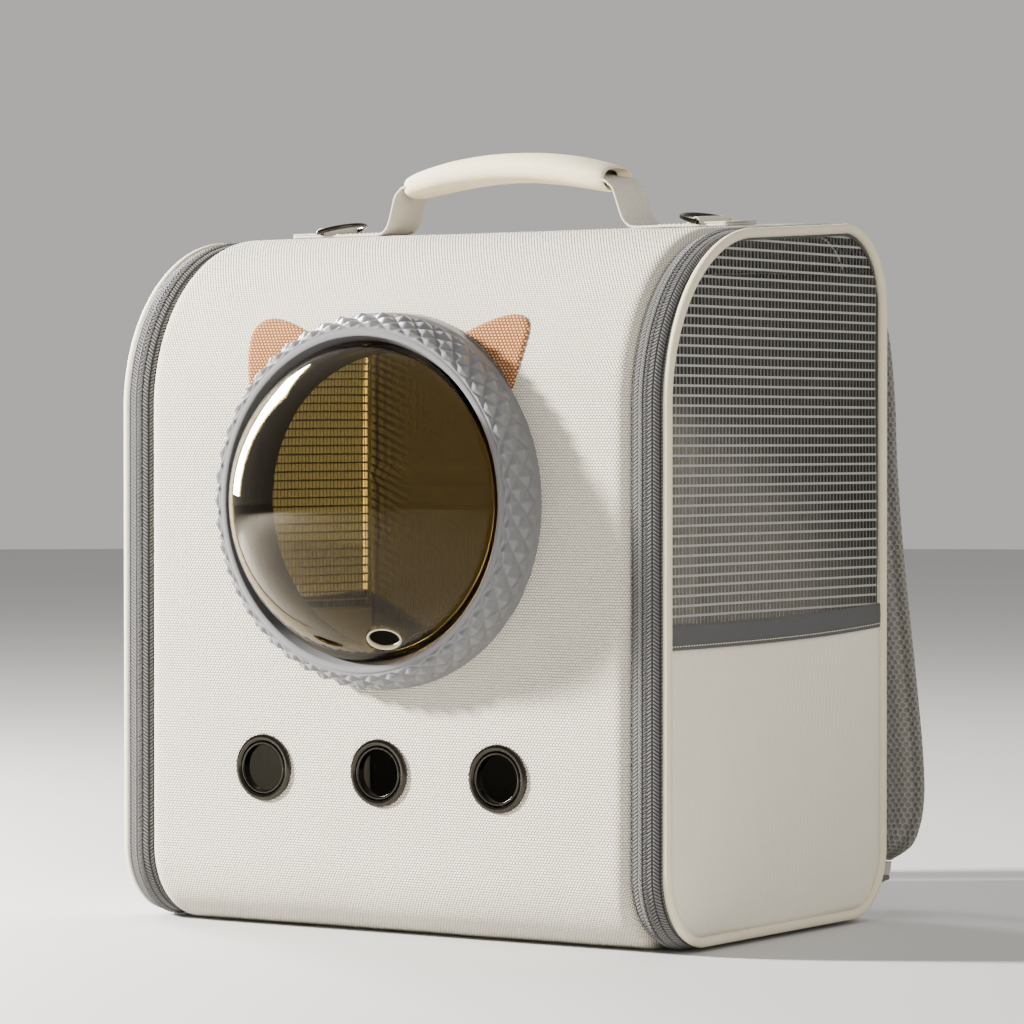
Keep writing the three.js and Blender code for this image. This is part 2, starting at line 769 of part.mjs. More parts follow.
// A D of round wire: a straight bar on the hinge line and a bow towards the handle
function dRing(sign) {
  const reach = ringInnerWidth / 2 + wireRadius;
  const bow = Array.from({ length: 14 }, (_, i) => {
    const angle = THREE.MathUtils.degToRad(6) + (THREE.MathUtils.degToRad(168) * i) / 13;
    return [-sign * ringReach * Math.sin(angle), reach * Math.cos(angle)];
  });
  const bar = [
    [0, -reach + 2 * wireRadius],
    [0, reach - 2 * wireRadius],
  ];
  const path = [...bow, ...bar];
  const rings = path.map(([x, y], i) => {
    const [ax, ay] = path[(i + path.length - 1) % path.length];
    const [bx, by] = path[(i + 1) % path.length];
    const length = Math.hypot(bx - ax, by - ay);
    const [nx, ny] = [(by - ay) / length, -(bx - ax) / length];
    return Array.from({ length: 6 }, (_, k) => {
      const turn = (Math.PI * k) / 3;
      const off = wireRadius * Math.cos(turn);
      return { x: x + nx * off, y: y + ny * off, z: wireRadius * Math.sin(turn) };
    });
  });
  return loft(rings, null);
}

for (const { label, sign } of sides) {
  piece("ring_loop_" + label, ringLoop(sign), strapWebbing, handle);
  const hinge = new THREE.Group();
  hinge.position.set(sign * ringBarPlace, 0, barHeight);
  hinge.rotation.y = sign * ringTilt;
  handle.add(hinge);
  piece("d_ring_" + label, dRing(sign), blackNickel, hinge);
}

// Shoulder straps
const across = new THREE.Vector3(1, 0, 0);
const strapPoint = ({ drop, out, spread }) => new THREE.Vector3(
  strapCentre + strapSpread * spread,
  back + strapReach * out,
  strapTop - (strapTop - strapEnd) * drop,
);
const seamPoint = outlinePoint({ corner: backTop, angle: backSeamAngle }, -2 * clearance);

function shoulderStrap(sign) {
  const start = new THREE.Vector3(strapPoint(strapSections[0]).x, seamPoint.y, seamPoint.z);
  const points = [start, ...strapSections.map(strapPoint)];
  const widths = [1, ...strapSections.map((row) => row.width)];
  const path = points.map((p) => new THREE.Vector3(sign * p.x, p.y, p.z));
  const section = (i) => pillow(strapWidth * widths[i], strapPad, 3);
  return sweep(path, across, section, outlineCaps(pillow(strapWidth, strapPad, 3)));
}

const tipRow = strapSections[strapSections.length - 1];
const tip = strapPoint(tipRow);
const anchorSeat = outlineRange(strapWebbingHeight + anchorCloth / 2, 0)[1] + clearance;
const anchorEnd = new THREE.Vector2(anchorPlace, anchorSeat);
const runAngle = Math.atan2(anchorEnd.y - tip.y, anchorEnd.x - tip.x);
const runLength = Math.hypot(anchorEnd.x - tip.x, anchorEnd.y - tip.y) - anchorLength;

// Webbing from the strap's end, woven through the adjuster, to the corner tab
function strapRun() {
  const weave = adjusterPlate / 2 + clearance + strapWebbingCloth / 2 + 0.1;
  const level = strapWebbingHeight;
  const bar = adjusterBar / 2 + strapWebbingCloth / 2;
  const wave = [-1, 0, 1].flatMap((k) => {
    const place = adjusterPlace + k * adjusterPitch;
    const height = level + (k === 0 ? weave : -weave);
    return [[place - bar, height], [place + bar, height]];
  });
  const path = [
    [0, strapEnd - 1.1],
    [0.6, level + 7],
    [4, level + 1.5],
    [10, level - 1],
    ...wave,
    [wave[5][0] + 4, level],
    [runLength - clearance, level],
  ];
  return ribbon(path.map(([s, z]) => new THREE.Vector3(s, 0, z)), slopeWard, strapWebbingWidth, strapWebbingCloth);
}

function strapAdjuster() {
  const slotWidth = strapWebbingWidth + 2;
  const length = 2 * adjusterPitch + adjusterBar;
  let plate = solid(new THREE.BoxGeometry(length, slotWidth + 2 * adjusterRim, adjusterPlate));
  for (const middle of [-adjusterPitch / 2, adjusterPitch / 2]) {
    const slot = new THREE.BoxGeometry(adjusterPitch - adjusterBar, slotWidth, 3 * adjusterPlate);
    plate = plate.subtract(solid(slot.translate(middle, 0, 0)));
  }
  return geometryOf(plate).translate(adjusterPlace, 0, strapWebbingHeight);
}

// A cloth tab from the back's lower corner to the webbing's end
function strapAnchor(sign) {
  const towards = new THREE.Vector2(Math.cos(runAngle), Math.sin(runAngle));
  const aside = new THREE.Vector2(-towards.y, towards.x).multiplyScalar(strapWebbingWidth / 2);
  const end = anchorEnd.clone().addScaledVector(towards, -anchorLength);
  const outline = [
    [anchorEnd.x - anchorWidth / 2, anchorEnd.y],
    [anchorEnd.x + anchorWidth / 2, anchorEnd.y],
    [end.x + aside.x, end.y + aside.y],
    [end.x - aside.x, end.y - aside.y],
  ];
  const low = strapWebbingHeight - anchorCloth / 2;
  const rings = [low, low + anchorCloth].map((z) => outline.map(([x, y]) => ({ x: sign * x, y, z })));
  return loft(rings, outlineCaps(outline));
}

for (const { label, sign } of sides) {
  piece("shoulder_strap_" + label, shoulderStrap(sign), backMesh);
  const run = new THREE.Group();
  run.position.set(sign * tip.x, tip.y, 0);
  run.rotation.z = sign > 0 ? runAngle : Math.PI - runAngle;
  bag.add(run);
  piece("strap_webbing_" + label, strapRun(), strapWebbing, run);
  piece("strap_adjuster_" + label, strapAdjuster(), darkPlastic, run);
  piece("strap_anchor_" + label, strapAnchor(sign), ivoryCloth);
}

export default bag;
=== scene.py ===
"""Looks of a bubble pet carrier backpack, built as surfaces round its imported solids."""

import math

import bmesh
import bpy
import numpy as np
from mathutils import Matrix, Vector


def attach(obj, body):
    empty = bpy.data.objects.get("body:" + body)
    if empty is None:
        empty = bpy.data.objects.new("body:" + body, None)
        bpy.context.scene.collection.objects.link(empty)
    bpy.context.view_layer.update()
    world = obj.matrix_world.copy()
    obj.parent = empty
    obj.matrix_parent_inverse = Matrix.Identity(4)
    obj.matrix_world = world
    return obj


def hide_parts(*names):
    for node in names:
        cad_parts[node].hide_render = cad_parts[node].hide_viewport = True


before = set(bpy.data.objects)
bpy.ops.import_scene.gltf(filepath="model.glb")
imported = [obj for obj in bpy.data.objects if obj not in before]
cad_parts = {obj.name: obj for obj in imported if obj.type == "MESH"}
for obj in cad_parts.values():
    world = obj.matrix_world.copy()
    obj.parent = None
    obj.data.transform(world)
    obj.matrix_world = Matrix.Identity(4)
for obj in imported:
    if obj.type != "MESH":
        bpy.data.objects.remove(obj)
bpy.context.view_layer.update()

# Sizes of the bag in millimetres. X runs across it, the front faces -Y, and it stands on z = 0.
# surface() turns them into metres.
MM = 0.001
HALF = 195
FRONT, BACK = -133, 133
SLOPE = math.atan2(16, 266)
PIPE = 6.4
PIPE_FOOT = HALF - PIPE
ZIP_HIGH = PIPE_FOOT - 0.3
ZIP_LOW = ZIP_HIGH - 17.5
SHELL_HALF = ZIP_LOW - 0.3
ZIP_DEPTH = 7
CORD_R = 2.9
BAND_LOW, BAND_TALL, BAND_LIFT = 173.6, 14.7, 5
NET_TALL = 5.7  # from one weft row of the net to the next
STRAP_FACE = 73.5  # a shoulder strap's face from edge to edge over its crown
BUBBLE_X, BUBBLE_Z = 3.3, 257
RING_R, RING_TALL, LIP_R, LIP_WIDE = 110.3, 25, 96, 4
HOLE_R, DOME_R, DOME_RISE, DOME_EDGE, DOME_WALL = 90, 92.8, 61, 22.5, 2.2
VENT_R, VENT_TILT, VENT_TURN = 9.7, math.radians(56), math.radians(19)
EYELET_X, EYELET_Z, EYELET_BORE, EYELET_HOLE = 83.5, 97.5, 13.8, 15.6
TOP_PLACE = np.array([-3, 22, 411 + 155 * math.tan(SLOPE)])
CENTRE = np.array([0, 0, 200])  # faces turn away from here
ACROSS = np.linspace(0, 1, 61)[None]  # shares of a side cloth's width, front to back


def top_z(y):
    """Height of the sloping top at a depth y."""
    return 411 + (y - FRONT) * math.tan(SLOPE)


# The side outline's corners from the back top round over the front: centre y, z, radius, angles
CORNERS = []
for at, r, start, end in (
    (BACK - 50, 50, 0, math.pi / 2 + SLOPE),
    (FRONT + 105, 105, math.pi / 2 + SLOPE, math.pi),
    (FRONT + 46, 46, math.pi, 1.5 * math.pi),
    (BACK - 42, 42, 1.5 * math.pi, 2 * math.pi),
):
    high = end <= math.pi
    CORNERS.append((at, top_z(at) - r / math.cos(SLOPE) if high else r, r, start, end))
BACK_SEAM, LOW_SEAM = math.radians(28), 2 * math.pi - math.radians(45)


def route(arcs, step, closed=False):
    """Rows of centre y, centre z, radius and angle along arcs and the straight runs between them.

    A straight run keeps the angle and moves the centre and radius evenly, so centre plus
    (radius - inset) times (cos, sin) of the angle gives the outline at any inset.
    """
    rows = []
    for k, (cy, cz, r, start, end) in enumerate(arcs):
        count = max(2, round(r * abs(end - start) / step))
        angle = np.linspace(start, end, count + 1)
        rows.append(np.stack([np.full_like(angle, v) for v in (cy, cz, r)] + [angle], 1))
        if k + 1 < len(arcs) or closed:
            a = np.array([cy, cz, r, end])
            b = np.array([*arcs[(k + 1) % len(arcs)][:3], end])
            far = np.hypot(*(b[:2] - a[:2] + (b[2] - a[2]) * np.array([math.cos(end), math.sin(end)])))
            share = np.linspace(0, 1, max(2, round(far / step)) + 1)[1:-1, None]
            rows.append(a + (b - a) * share)
    return np.concatenate(rows)


def on_route(places, x, inset):
    """Points at x and inset on the outline: rows are the places, columns the section."""
    x, inset = np.broadcast_arrays(x, inset)
    reach, angle = places[:, None, 2] - inset, places[:, None, 3]
    return spread(x, places[:, None, 0] + reach * np.cos(angle), places[:, None, 1] + reach * np.sin(angle))


# The way of the shell over the front and that of the back, with a small gap at both seams
TOP_GAP, LOW_GAP = 0.006, 0.007
WRAP = [(*CORNERS[0][:3], BACK_SEAM + TOP_GAP, CORNERS[0][4]), CORNERS[1], CORNERS[2],
        (*CORNERS[3][:4], LOW_SEAM - LOW_GAP)]
REAR = [(*CORNERS[3][:3], LOW_SEAM + LOW_GAP, 2 * math.pi), (*CORNERS[0][:4], BACK_SEAM - TOP_GAP)]


def cord_inset(angle):
    """How far the cord's outer side lies inside the outline: most along the front, some below."""
    return 0.9 + 4.6 * np.maximum(0, -np.cos(angle)) + 1.7 * np.maximum(0, -np.sin(angle))


def front_y(z):
    """The front face's y at a height, round the top and bottom front corners."""
    _, (cy, cz, r, *_), (by, bz, br, *_), _ = CORNERS
    high = cy - np.sqrt(np.maximum(0, r**2 - np.maximum(0, z - cz) ** 2))
    low = by - np.sqrt(np.maximum(0, br**2 - np.maximum(0, bz - z) ** 2))
    return np.where(z > bz, high, low)


def side_span(z, inset):
    """The side cloth's front and back y at a height: the outline, then the cord's inset and one more."""
    spans = []
    for k, sign in ((2, -1), (3, 1)):
        cy, cz, r = CORNERS[k][:3]
        rise = np.minimum(0, z - cz)
        more = inset + cord_inset(np.arctan2(rise, sign * np.sqrt(r * r - rise * rise)))
        spans.append(cy + sign * np.sqrt(np.maximum(0, (r - more) ** 2 - rise**2)))
    return spans


def ease(t):
    """A smooth step: 3 t squared less 2 t cubed, between 0 and 1."""
    t = np.clip(t, 0, 1)
    return t * t * (3 - 2 * t)


def circle(count):
    """Angles once round, without the last."""
    return np.linspace(0, 2 * np.pi, count, endpoint=False)


def spread(*columns):
    """Coordinates brought to one shape and stacked as points."""
    return np.stack(np.broadcast_arrays(*columns), -1)


def unit(vectors):
    """Vectors made one long."""
    return vectors / np.linalg.norm(vectors, axis=-1, keepdims=True)


def power(w, p):
    """A power that keeps the sign."""
    return np.sign(w) * np.abs(w) ** p


def tilted(a, b, angle):
    """Two coordinates turned by an angle."""
    c, s = math.cos(angle), math.sin(angle)
    return a * c - b * s, a * s + b * c


def spline(rows, count):
    """A Catmull-Rom curve through rows of numbers, evenly by row."""
    rows = np.asarray(rows, float)
    padded = np.vstack([2 * rows[0] - rows[1], rows, 2 * rows[-1] - rows[-2]])
    t = np.linspace(0, len(rows) - 1, count)
    k = np.minimum(t.astype(int), len(rows) - 2)
    f = (t - k)[:, None]
    a, b, c, d = padded[k], padded[k + 1], padded[k + 2], padded[k + 3]
    return 0.5 * (2 * b + (c - a) * f + (2 * a - 5 * b + 4 * c - d) * f**2 + (3 * b - a - 3 * c + d) * f**3)


def along(points, axis):
    """Running length of a grid's lines along one axis, averaged over the others."""
    step = np.linalg.norm(np.diff(points, axis=axis), axis=-1).mean(1 - axis)
    return np.concatenate([[0], np.cumsum(step)])


def evenly(points, step):
    """The same line with points a step apart: each coordinate against running length."""
    run = np.concatenate([[0], np.cumsum(np.linalg.norm(np.diff(points, axis=0), axis=1))])
    at = np.linspace(0, run[-1], max(2, round(run[-1] / step)) + 1)
    return np.stack([np.interp(at, run, c) for c in points.T], 1)


def carry(path, section, side=(0, 1, 0)):
    """A section carried along a path: point = path + a across + b up.

    Across is the side direction made square to the path, and up is square to both.
    """
    tangent = unit(np.gradient(path, axis=0))
    across = unit(np.array(side) - (tangent @ np.array(side, float))[:, None] * tangent)
    up = np.cross(across, tangent)
    section = np.broadcast_to(section, (len(path), *np.shape(section)[-2:]))
    return path[:, None] + section[..., :1] * across[:, None] + section[..., 1:] * up[:, None]


def strap_section(width, thick):
    """A flat strap's outline: two faces joined by half circles as high as the cloth."""
    r = thick / 2
    turn = np.linspace(-np.pi / 2, np.pi / 2, 5)
    edge = np.stack([width / 2 - r + r * np.cos(turn), r * np.sin(turn)], 1)
    x = np.linspace(width / 2 - r, -width / 2 + r, 10)[1:-1]
    top = np.stack([x, np.full_like(x, r)], 1)
    return np.concatenate([edge, top, -edge, -top])


def surface(name, points, closed=(False, False), uv=None, keep=None, cloth=0.0, weld=False):
    """A mesh of a grid of points, in millimetres here and in metres in the mesh, as its UV is.

    Faces turn outwards from the bag's middle. u runs along the columns and v along the rows.
    keep drops quads, cloth thickens inwards, and weld joins points that meet.
    """
    n, m = points.shape[:2]
    i, j = np.meshgrid(np.arange(n - (not closed[0])), np.arange(m - (not closed[1])), indexing="ij")
    rows, cols = np.stack([i, i + 1, i + 1, i], -1), np.stack([j, j, j + 1, j + 1], -1)
    if uv is None:
        grid = np.concatenate([points, points[:1]]) if closed[0] else points
        grid = np.concatenate([grid, grid[:, :1]], 1) if closed[1] else grid
        uv = np.stack(np.meshgrid(along(grid, 1), along(grid, 0)), -1)
    coords = uv[rows, cols].reshape(-1, 4, 2) * MM
    quads = ((rows % n) * m + cols % m).reshape(-1, 4)
    if keep is not None:
        quads, coords = quads[keep.ravel()], coords[keep.ravel()]
    flat = points.reshape(-1, 3)
    a, b, c, d = (flat[quads[:, k]] for k in range(4))
    if (np.cross(c - a, d - b) * ((a + c) / 2 - CENTRE)).sum() < 0:
        quads, coords = quads[:, ::-1], coords[:, ::-1]
    used, quads = np.unique(quads, return_inverse=True)
    data = bpy.data.meshes.new(name)
    data.from_pydata(flat[used] * MM, [], quads.reshape(-1, 4).tolist())
    data.uv_layers.new(name="cloth").data.foreach_set("uv", coords.astype(np.float32).ravel())
    data.shade_smooth()
    if weld:
        shape = bmesh.new()
        shape.from_mesh(data)
        bmesh.ops.remove_doubles(shape, verts=shape.verts, dist=1e-6)
        shape.to_mesh(data)
        shape.free()
    piece = bpy.data.objects.new(name, data)
    bpy.context.scene.collection.objects.link(piece)
    if cloth:
        wall = piece.modifiers.new("cloth", "SOLIDIFY")
        wall.thickness, wall.offset, wall.use_rim = cloth * MM, -1, True
    return piece


def dress(piece, look, slot, nodes=(), body="carrier", inside=None):
    """Gives a piece its look, rides it on its body and stands it in for its nodes."""
    piece.data.materials.append(look)
    if inside:
        piece.data.materials.append(inside)
        wall = piece.modifiers["cloth"]
        wall.material_offset = wall.material_offset_rim = 1
    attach(piece, body)
    if nodes:
        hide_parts(*nodes)
    return piece


def blocks(name, laid, rows):
    """Soft-edged boxes joined in one object, from rows of half sizes and middle.

    A box is its half sizes times signed powers of cosines and sines. laid puts points in place.
    """
    u, v = np.meshgrid(np.linspace(-np.pi / 2, np.pi / 2, 14), circle(28) - np.pi, indexing="ij")
    flat, up, x, y = (power(w, 0.35) for w in (np.cos(u), np.sin(u), np.cos(v), np.sin(v)))
    ball = np.stack([flat * x, flat * y, up], -1)
    pieces = [surface(name, laid(ball * half + at), (False, True), weld=True) for half, at in rows]
    with bpy.context.temp_override(active_object=pieces[0], selected_editable_objects=pieces):
        bpy.ops.object.join()
    return pieces[0]


def turned_front(profile, count, x, z):
    """A profile of radius and height turned about an axis out of the front face."""
    turn = circle(count)[:, None]
    r, t = np.asarray(profile, float).T
    return spread(x + r * np.sin(turn), FRONT - t, z + r * np.cos(turn))


def operator(kind):
    """A Field's operator that adds one Math node."""
    return lambda field, other: field.look.maths(kind, field, other)


class Field:
    """A number that varies over a surface. Operators on it add Math nodes."""

    __add__ = __radd__ = operator("ADD")
    __mul__ = __rmul__ = operator("MULTIPLY")
    __sub__, __truediv__, __pow__ = operator("SUBTRACT"), operator("DIVIDE"), operator("POWER")

    def __init__(self, look, socket):
        self.look, self.socket = look, socket


class Look:
    """A material with one Principled shader, built from fields."""

    def __init__(self, name, **uniform):
        self.material = bpy.data.materials.new(name)
        self.material.use_nodes = True
        self.tree = self.material.node_tree
        self.shader = self.tree.nodes["Principled BSDF"]
        for key, value in uniform.items():
            self.feed(self.shader.inputs[key.replace("_", " ")], value)

    def feed(self, socket, value):
        if isinstance(value, Field):
            value = value.socket
        if isinstance(value, bpy.types.NodeSocket):
            self.tree.links.new(value, socket)
        else:
            socket.default_value = value

    def node(self, kind, settings=None, inputs=None):
        made = self.tree.nodes.new("ShaderNode" + kind)
        for key, value in (settings or {}).items():
            setattr(made, key, value)
        for key, value in (inputs or {}).items():
            self.feed(made.inputs[key], value)
        return made

    def maths(self, kind, *values):
        made = self.node("Math", {"operation": kind}, dict(enumerate(values)))
        return Field(self, made.outputs[0])

    def axes(self, vector):
        made = self.node("SeparateXYZ", None, {0: vector})
        return [Field(self, s) * 1000 for s in made.outputs]

    def cloth(self):
        """The piece's own UV, in millimetres."""
        return self.axes(self.node("UVMap", {"uv_map": "cloth"}).outputs[0])[:2]

    def place(self):
        """Object coordinates, in millimetres."""
        return self.axes(self.node("TexCoord").outputs["Object"])

    def sine(self, f):
        return self.maths("SINE", f)

    def part(self, f):
        return self.maths("FRACT", f)

    def size(self, f):
        return self.maths("ABSOLUTE", f)

    def step(self, f, low, high):
        """0 below low and 1 above high, with a smooth rise between."""
        made = self.node("MapRange", {"interpolation_type": "SMOOTHSTEP"}, {0: f, 1: low, 2: high})
        return Field(self, made.outputs[0])

    def noise(self, scale, detail=3.0, stretch=(1, 1, 1)):
        """Noise on Object coordinates; scale is in cells a metre."""
        at = self.node("Mapping", None, {0: self.node("TexCoord").outputs["Object"], 3: stretch})
        made = self.node("TexNoise", None, {"Vector": at.outputs[0], "Scale": scale, "Detail": detail})
        return Field(self, made.outputs[0])

    def mix(self, f, a, b):
        """Colour a where f is 0 and b where it is 1."""
        made = self.node("Mix", {"data_type": "RGBA"}, {0: f})
        for k, value in ((6, a), (7, b)):
            self.feed(made.inputs[k], (*value, 1) if isinstance(value, tuple) else value)
        return made.outputs[2]

    def bricks(self, u, v, wide, tall):
        """Staggered pillows: sine of place across by sine of place down, alternate rows shifted."""
        shift = self.part(self.maths("FLOOR", v / tall) * 0.5)
        a = self.sine(self.part(u / wide + shift) * math.pi)
        return (a * self.sine(self.part(v / tall) * math.pi)) ** 0.6

    def ribs(self, u, pitch):
        """Round ribs: the size of a sine."""
        return self.size(self.sine(u * (math.pi / pitch)))

    def finish(self, colour=None, rough=None, height=None, depth=0.0):
        """Feeds colour, roughness and a relief, whose depth is in millimetres."""
        if colour is not None:
            self.feed(self.shader.inputs["Base Color"], colour)
        if rough is not None:
            self.feed(self.shader.inputs["Roughness"], rough)
        if height is not None:
            bump = self.node("Bump", None, {"Height": height, "Distance": depth * MM})
            self.feed(self.shader.inputs["Normal"], bump.outputs[0])
        return self.material


def fabric(name, sheen=0.1, **uniform):
    """A cloth look, with the place across and along the cloth in millimetres."""
    look = Look(name, Sheen_Weight=sheen, **{"IOR": 1.45, **uniform})
    return look, *look.cloth()


def woven(name, light, dark, wide, tall, depth):
    """Raised staggered weave with darker gaps, a little unevenness, and darker low down: dirt with painted
    shade near the floor.
    """
    look, u, v = fabric(name, 0.15, Sheen_Roughness=0.5)
    tuft = look.bricks(u, v, wide, tall)
    uneven, fuzz = look.noise(28, 4), look.noise(1400, 2)
    colour = look.mix(look.step(tuft, 0.25, 0.8) * 0.85 + fuzz * 0.2, dark, light)
    # darker towards the bottom: dirt, with painted shade from the floor
    dirt_and_floor_shade = look.step(look.place()[2] + uneven * 30, 34, 8) * 0.28
    colour = look.mix(dirt_and_floor_shade, look.mix(uneven * 0.25, colour, tuple(c * 0.93 for c in light)), dark)
    return look.finish(colour, uneven * 0.12 + 0.79, tuft + fuzz * 0.25 + uneven * 0.6, depth)


def ribbed(name, light, dark, pitch, cross, depth):
    """Ribs along v with finer bars across them."""
    look, u, v = fabric(name, 0.12, Sheen_Roughness=0.5)
    rib = look.ribs(u, pitch) ** 0.7
    bar = look.ribs(v + look.step(look.part(u / pitch / 2), 0.45, 0.55) * (cross / 2), cross)
    uneven, fuzz = look.noise(30, 4), look.noise(1800, 2)
    colour = look.mix(rib * 0.55 + bar * 0.25 + fuzz * 0.25, dark, light)
    colour = look.mix(uneven * 0.22, colour, dark)
    return look.finish(colour, uneven * 0.1 + 0.8, rib * 0.7 + bar * 0.3 + fuzz * 0.2, depth)


def webbing_cloth(name, light, dark):
    """Herringbone webbing: slanted bars whose slant turns over from one rib to the next."""
    look, u, v = fabric(name)
    fold = look.size(look.part(u / 6.4) - 0.5) * 6.4
    bar, rib = look.ribs(v + fold, 1.5), look.ribs(u, 1.6) ** 0.5
    fuzz = look.noise(1500, 2)
    colour = look.mix(bar * 0.6 + rib * 0.2 + fuzz * 0.25, dark, light)
    return look.finish(colour, fuzz * 0.1 + 0.78, bar * 0.7 + rib * 0.3, 0.25)


def zip_knit(name, light, dark, pitch):
    """Knitted zip tape: slanted bars in columns, turned over from one to the next, with dark slots."""
    look, u, v = fabric(name)
    fold = look.size(look.part(u / 9) - 0.5) * 6
    fuzz = look.noise(1300, 3)
    raised = look.step(look.ribs(v + fold, pitch), 0.32, 0.8) * look.step(look.ribs(u, 4.5), 0.12, 0.6)
    colour = look.mix(raised * (fuzz * 0.5 + 0.65), dark, light)
    return look.finish(colour, fuzz * 0.1 + 0.75, raised + fuzz * 0.2, 0.5)


def comb_mesh(name, light, dark, wide, tall, border=0.0):
    """Spacer mesh: staggered round cells sunk into knitted walls.

    A border is a share of a strap's face, with no cells and a sewn groove on its inner side.
    """
    look, u, v = fabric(name, 0.12)
    row = v / tall
    across = (look.part(u / wide + look.part(look.maths("FLOOR", row) * 0.5)) - 0.5) * wide
    down = (look.part(row) - 0.5) * tall
    wall = look.step((across * across + down * down) ** 0.5, 0.7, 1.8)
    if border:
        edge = look.size(look.part(u / STRAP_FACE) - 0.5)
        wall = look.maths("MAXIMUM", wall, look.step(edge, 0.49 - border, 0.5 - border))
        wall = wall - look.step(look.size(edge - (0.495 - border)), 0.011, 0.004) * 0.8
    knit, fuzz = look.ribs(u + v * 0.5, 0.9), look.noise(1200, 3)
    colour = look.mix(wall * 0.75 + knit * 0.15 + fuzz * 0.2, dark, light)
    colour = look.mix(look.noise(25, 4) * 0.3, colour, dark)
    return look.finish(colour, fuzz * 0.1 + 0.85, wall + knit * 0.15, 0.9)


def plastic(name, colour, other, rough, ior=1.5):
    """Moulded plastic: fine grain, faint handling marks and rougher patches."""
    look = Look(name, IOR=ior)
    patch = look.noise(22, 5)
    mark = look.step(look.noise(160, 4, (1, 1, 0.15)), 0.6, 0.78)
    shade = look.mix(patch * 0.6, colour, other)
    shade = look.mix(mark * 0.18, shade, tuple(min(1, c * 1.5 + 0.03) for c in colour))
    return look.finish(shade, patch * 0.14 + mark * 0.1 + (rough - 0.07), look.noise(900, 2), 0.02)


IVORY = woven("ivory brick weave", (0.92, 0.88, 0.78), (0.42, 0.375, 0.285), 2.0, 1.6, 0.95)
POCKET = ribbed("ivory rib", (0.9, 0.855, 0.745), (0.56, 0.51, 0.4), 1.7, 1.9, 0.42)
LINING = ribbed("ivory lining", (0.66, 0.63, 0.54), (0.45, 0.42, 0.34), 1.2, 1.2, 0.1)
# The bag's inside faces: partly the lining's own grey, darkened to near black as painted shade inside the bag.
SHADED_LINING = ribbed("inner lining painted dark as shade", (0.06, 0.056, 0.047), (0.034, 0.032, 0.027), 1.4, 1.4, 0.1)
ELASTIC = ribbed("grey elastic", (0.088, 0.088, 0.091), (0.03, 0.03, 0.031), 0.9, 1.3, 0.16)
ZIP_TAPE = zip_knit("grey zip knit", (0.135, 0.135, 0.138), (0.01, 0.01, 0.01), 2.1)
TEETH = zip_knit("grey zip teeth", (0.16, 0.16, 0.163), (0.012, 0.012, 0.012), 1.45)
WEBBING = webbing_cloth("ivory webbing", (0.64, 0.615, 0.545), (0.33, 0.31, 0.26))
MESH_GREYS = (0.31, 0.305, 0.282), (0.15, 0.146, 0.134)
BACK_MESH = comb_mesh("grey spacer mesh", *MESH_GREYS, 4.2, 3.6)
STRAP_MESH = comb_mesh("grey strap mesh", *MESH_GREYS, 3.6, 3.1, 0.105)
CREAM = ribbed("cream twill", (0.88, 0.8, 0.57), (0.6, 0.52, 0.34), 1.3, 1.5, 0.3)
RING_GREY = plastic("cool grey plastic", (0.155, 0.158, 0.168), (0.12, 0.124, 0.132), 0.33)
DARK = plastic("dark plastic", (0.03, 0.029, 0.027), (0.018, 0.017, 0.016), 0.42)
VENT_EDGE = plastic("frosted vent edge", (0.62, 0.55, 0.4), (0.5, 0.43, 0.3), 0.3, 1.48)
COLLAR = plastic("brown plastic", (0.06, 0.045, 0.026), (0.03, 0.022, 0.013), 0.3)


def piping_cloth():
    """Satin cord cover: slanted fine threads with a soft gloss along the roll."""
    look, u, v = fabric("cream piping", 0.2, Sheen_Roughness=0.35, IOR=1.46)
    slant, uneven = look.ribs(v + u * 0.6, 0.75), look.noise(60, 3)
    colour = look.mix(slant * 0.6 + uneven * 0.3, (0.52, 0.47, 0.33), (0.82, 0.76, 0.58))
    return look.finish(colour, uneven * 0.15 + 0.5, slant + uneven, 0.08)


def net_thread():
    """Knitted net thread: fine twist along each strand, and paler weft rows."""
    look, u, v = fabric("grey net")
    twist, fuzz = look.ribs(u + v, 0.7), look.noise(900, 2)
    weft = look.step(look.size(look.part(v / NET_TALL - 0.118) - 0.5), 0.36, 0.4)
    colour = look.mix(twist * 0.4 + fuzz * 0.2 + 0.2, (0.06, 0.06, 0.058), (0.19, 0.19, 0.184))
    colour = look.mix(weft * (twist * 0.2 + 0.65), colour, (0.42, 0.42, 0.41))
    return look.finish(colour, fuzz * 0.1 + 0.65, twist, 0.15)


def ear_weave():
    """Coarse basket weave: staggered tan tufts, dark in the gaps, with a painted highlight on the tufts' tops.
    """
    look, u, v = fabric("tan basket weave")
    tuft, fuzz = look.bricks(u, v, 2.4, 1.7), look.noise(1100, 3)
    colour = look.mix(look.step(tuft, 0.45, 0.85), (0.085, 0.03, 0.01), (0.57, 0.25, 0.09))
    # painted highlight: a paler tan where the tufts stand highest
    colour = look.mix(look.step(tuft, 0.88, 0.99) * 0.5, colour, (0.8, 0.5, 0.27))
    return look.finish(look.mix(fuzz * 0.2, colour, (0.4, 0.19, 0.09)), 0.82, tuft + fuzz * 0.3, 0.45)


def amber():
    """Clear tinted plastic with faint haze marks."""
    look = Look("amber clear plastic", Transmission_Weight=1.0, IOR=1.28,
                Base_Color=(0.34, 0.24, 0.062, 1))
    haze = look.noise(40, 4)
    return look.finish(None, look.step(haze, 0.6, 0.9) * 0.04 + 0.015)


def nickel():
    """Polished black nickel with hairline scratches."""
    look = Look("black nickel", Metallic=1.0)
    fine = look.noise(1500, 2, (1, 0.2, 1))
    patch = look.noise(60, 3)
    colour = look.mix(patch, (0.035, 0.032, 0.028), (0.065, 0.06, 0.05))
    return look.finish(colour, patch * 0.1 + fine * 0.08 + 0.12, fine, 0.01)


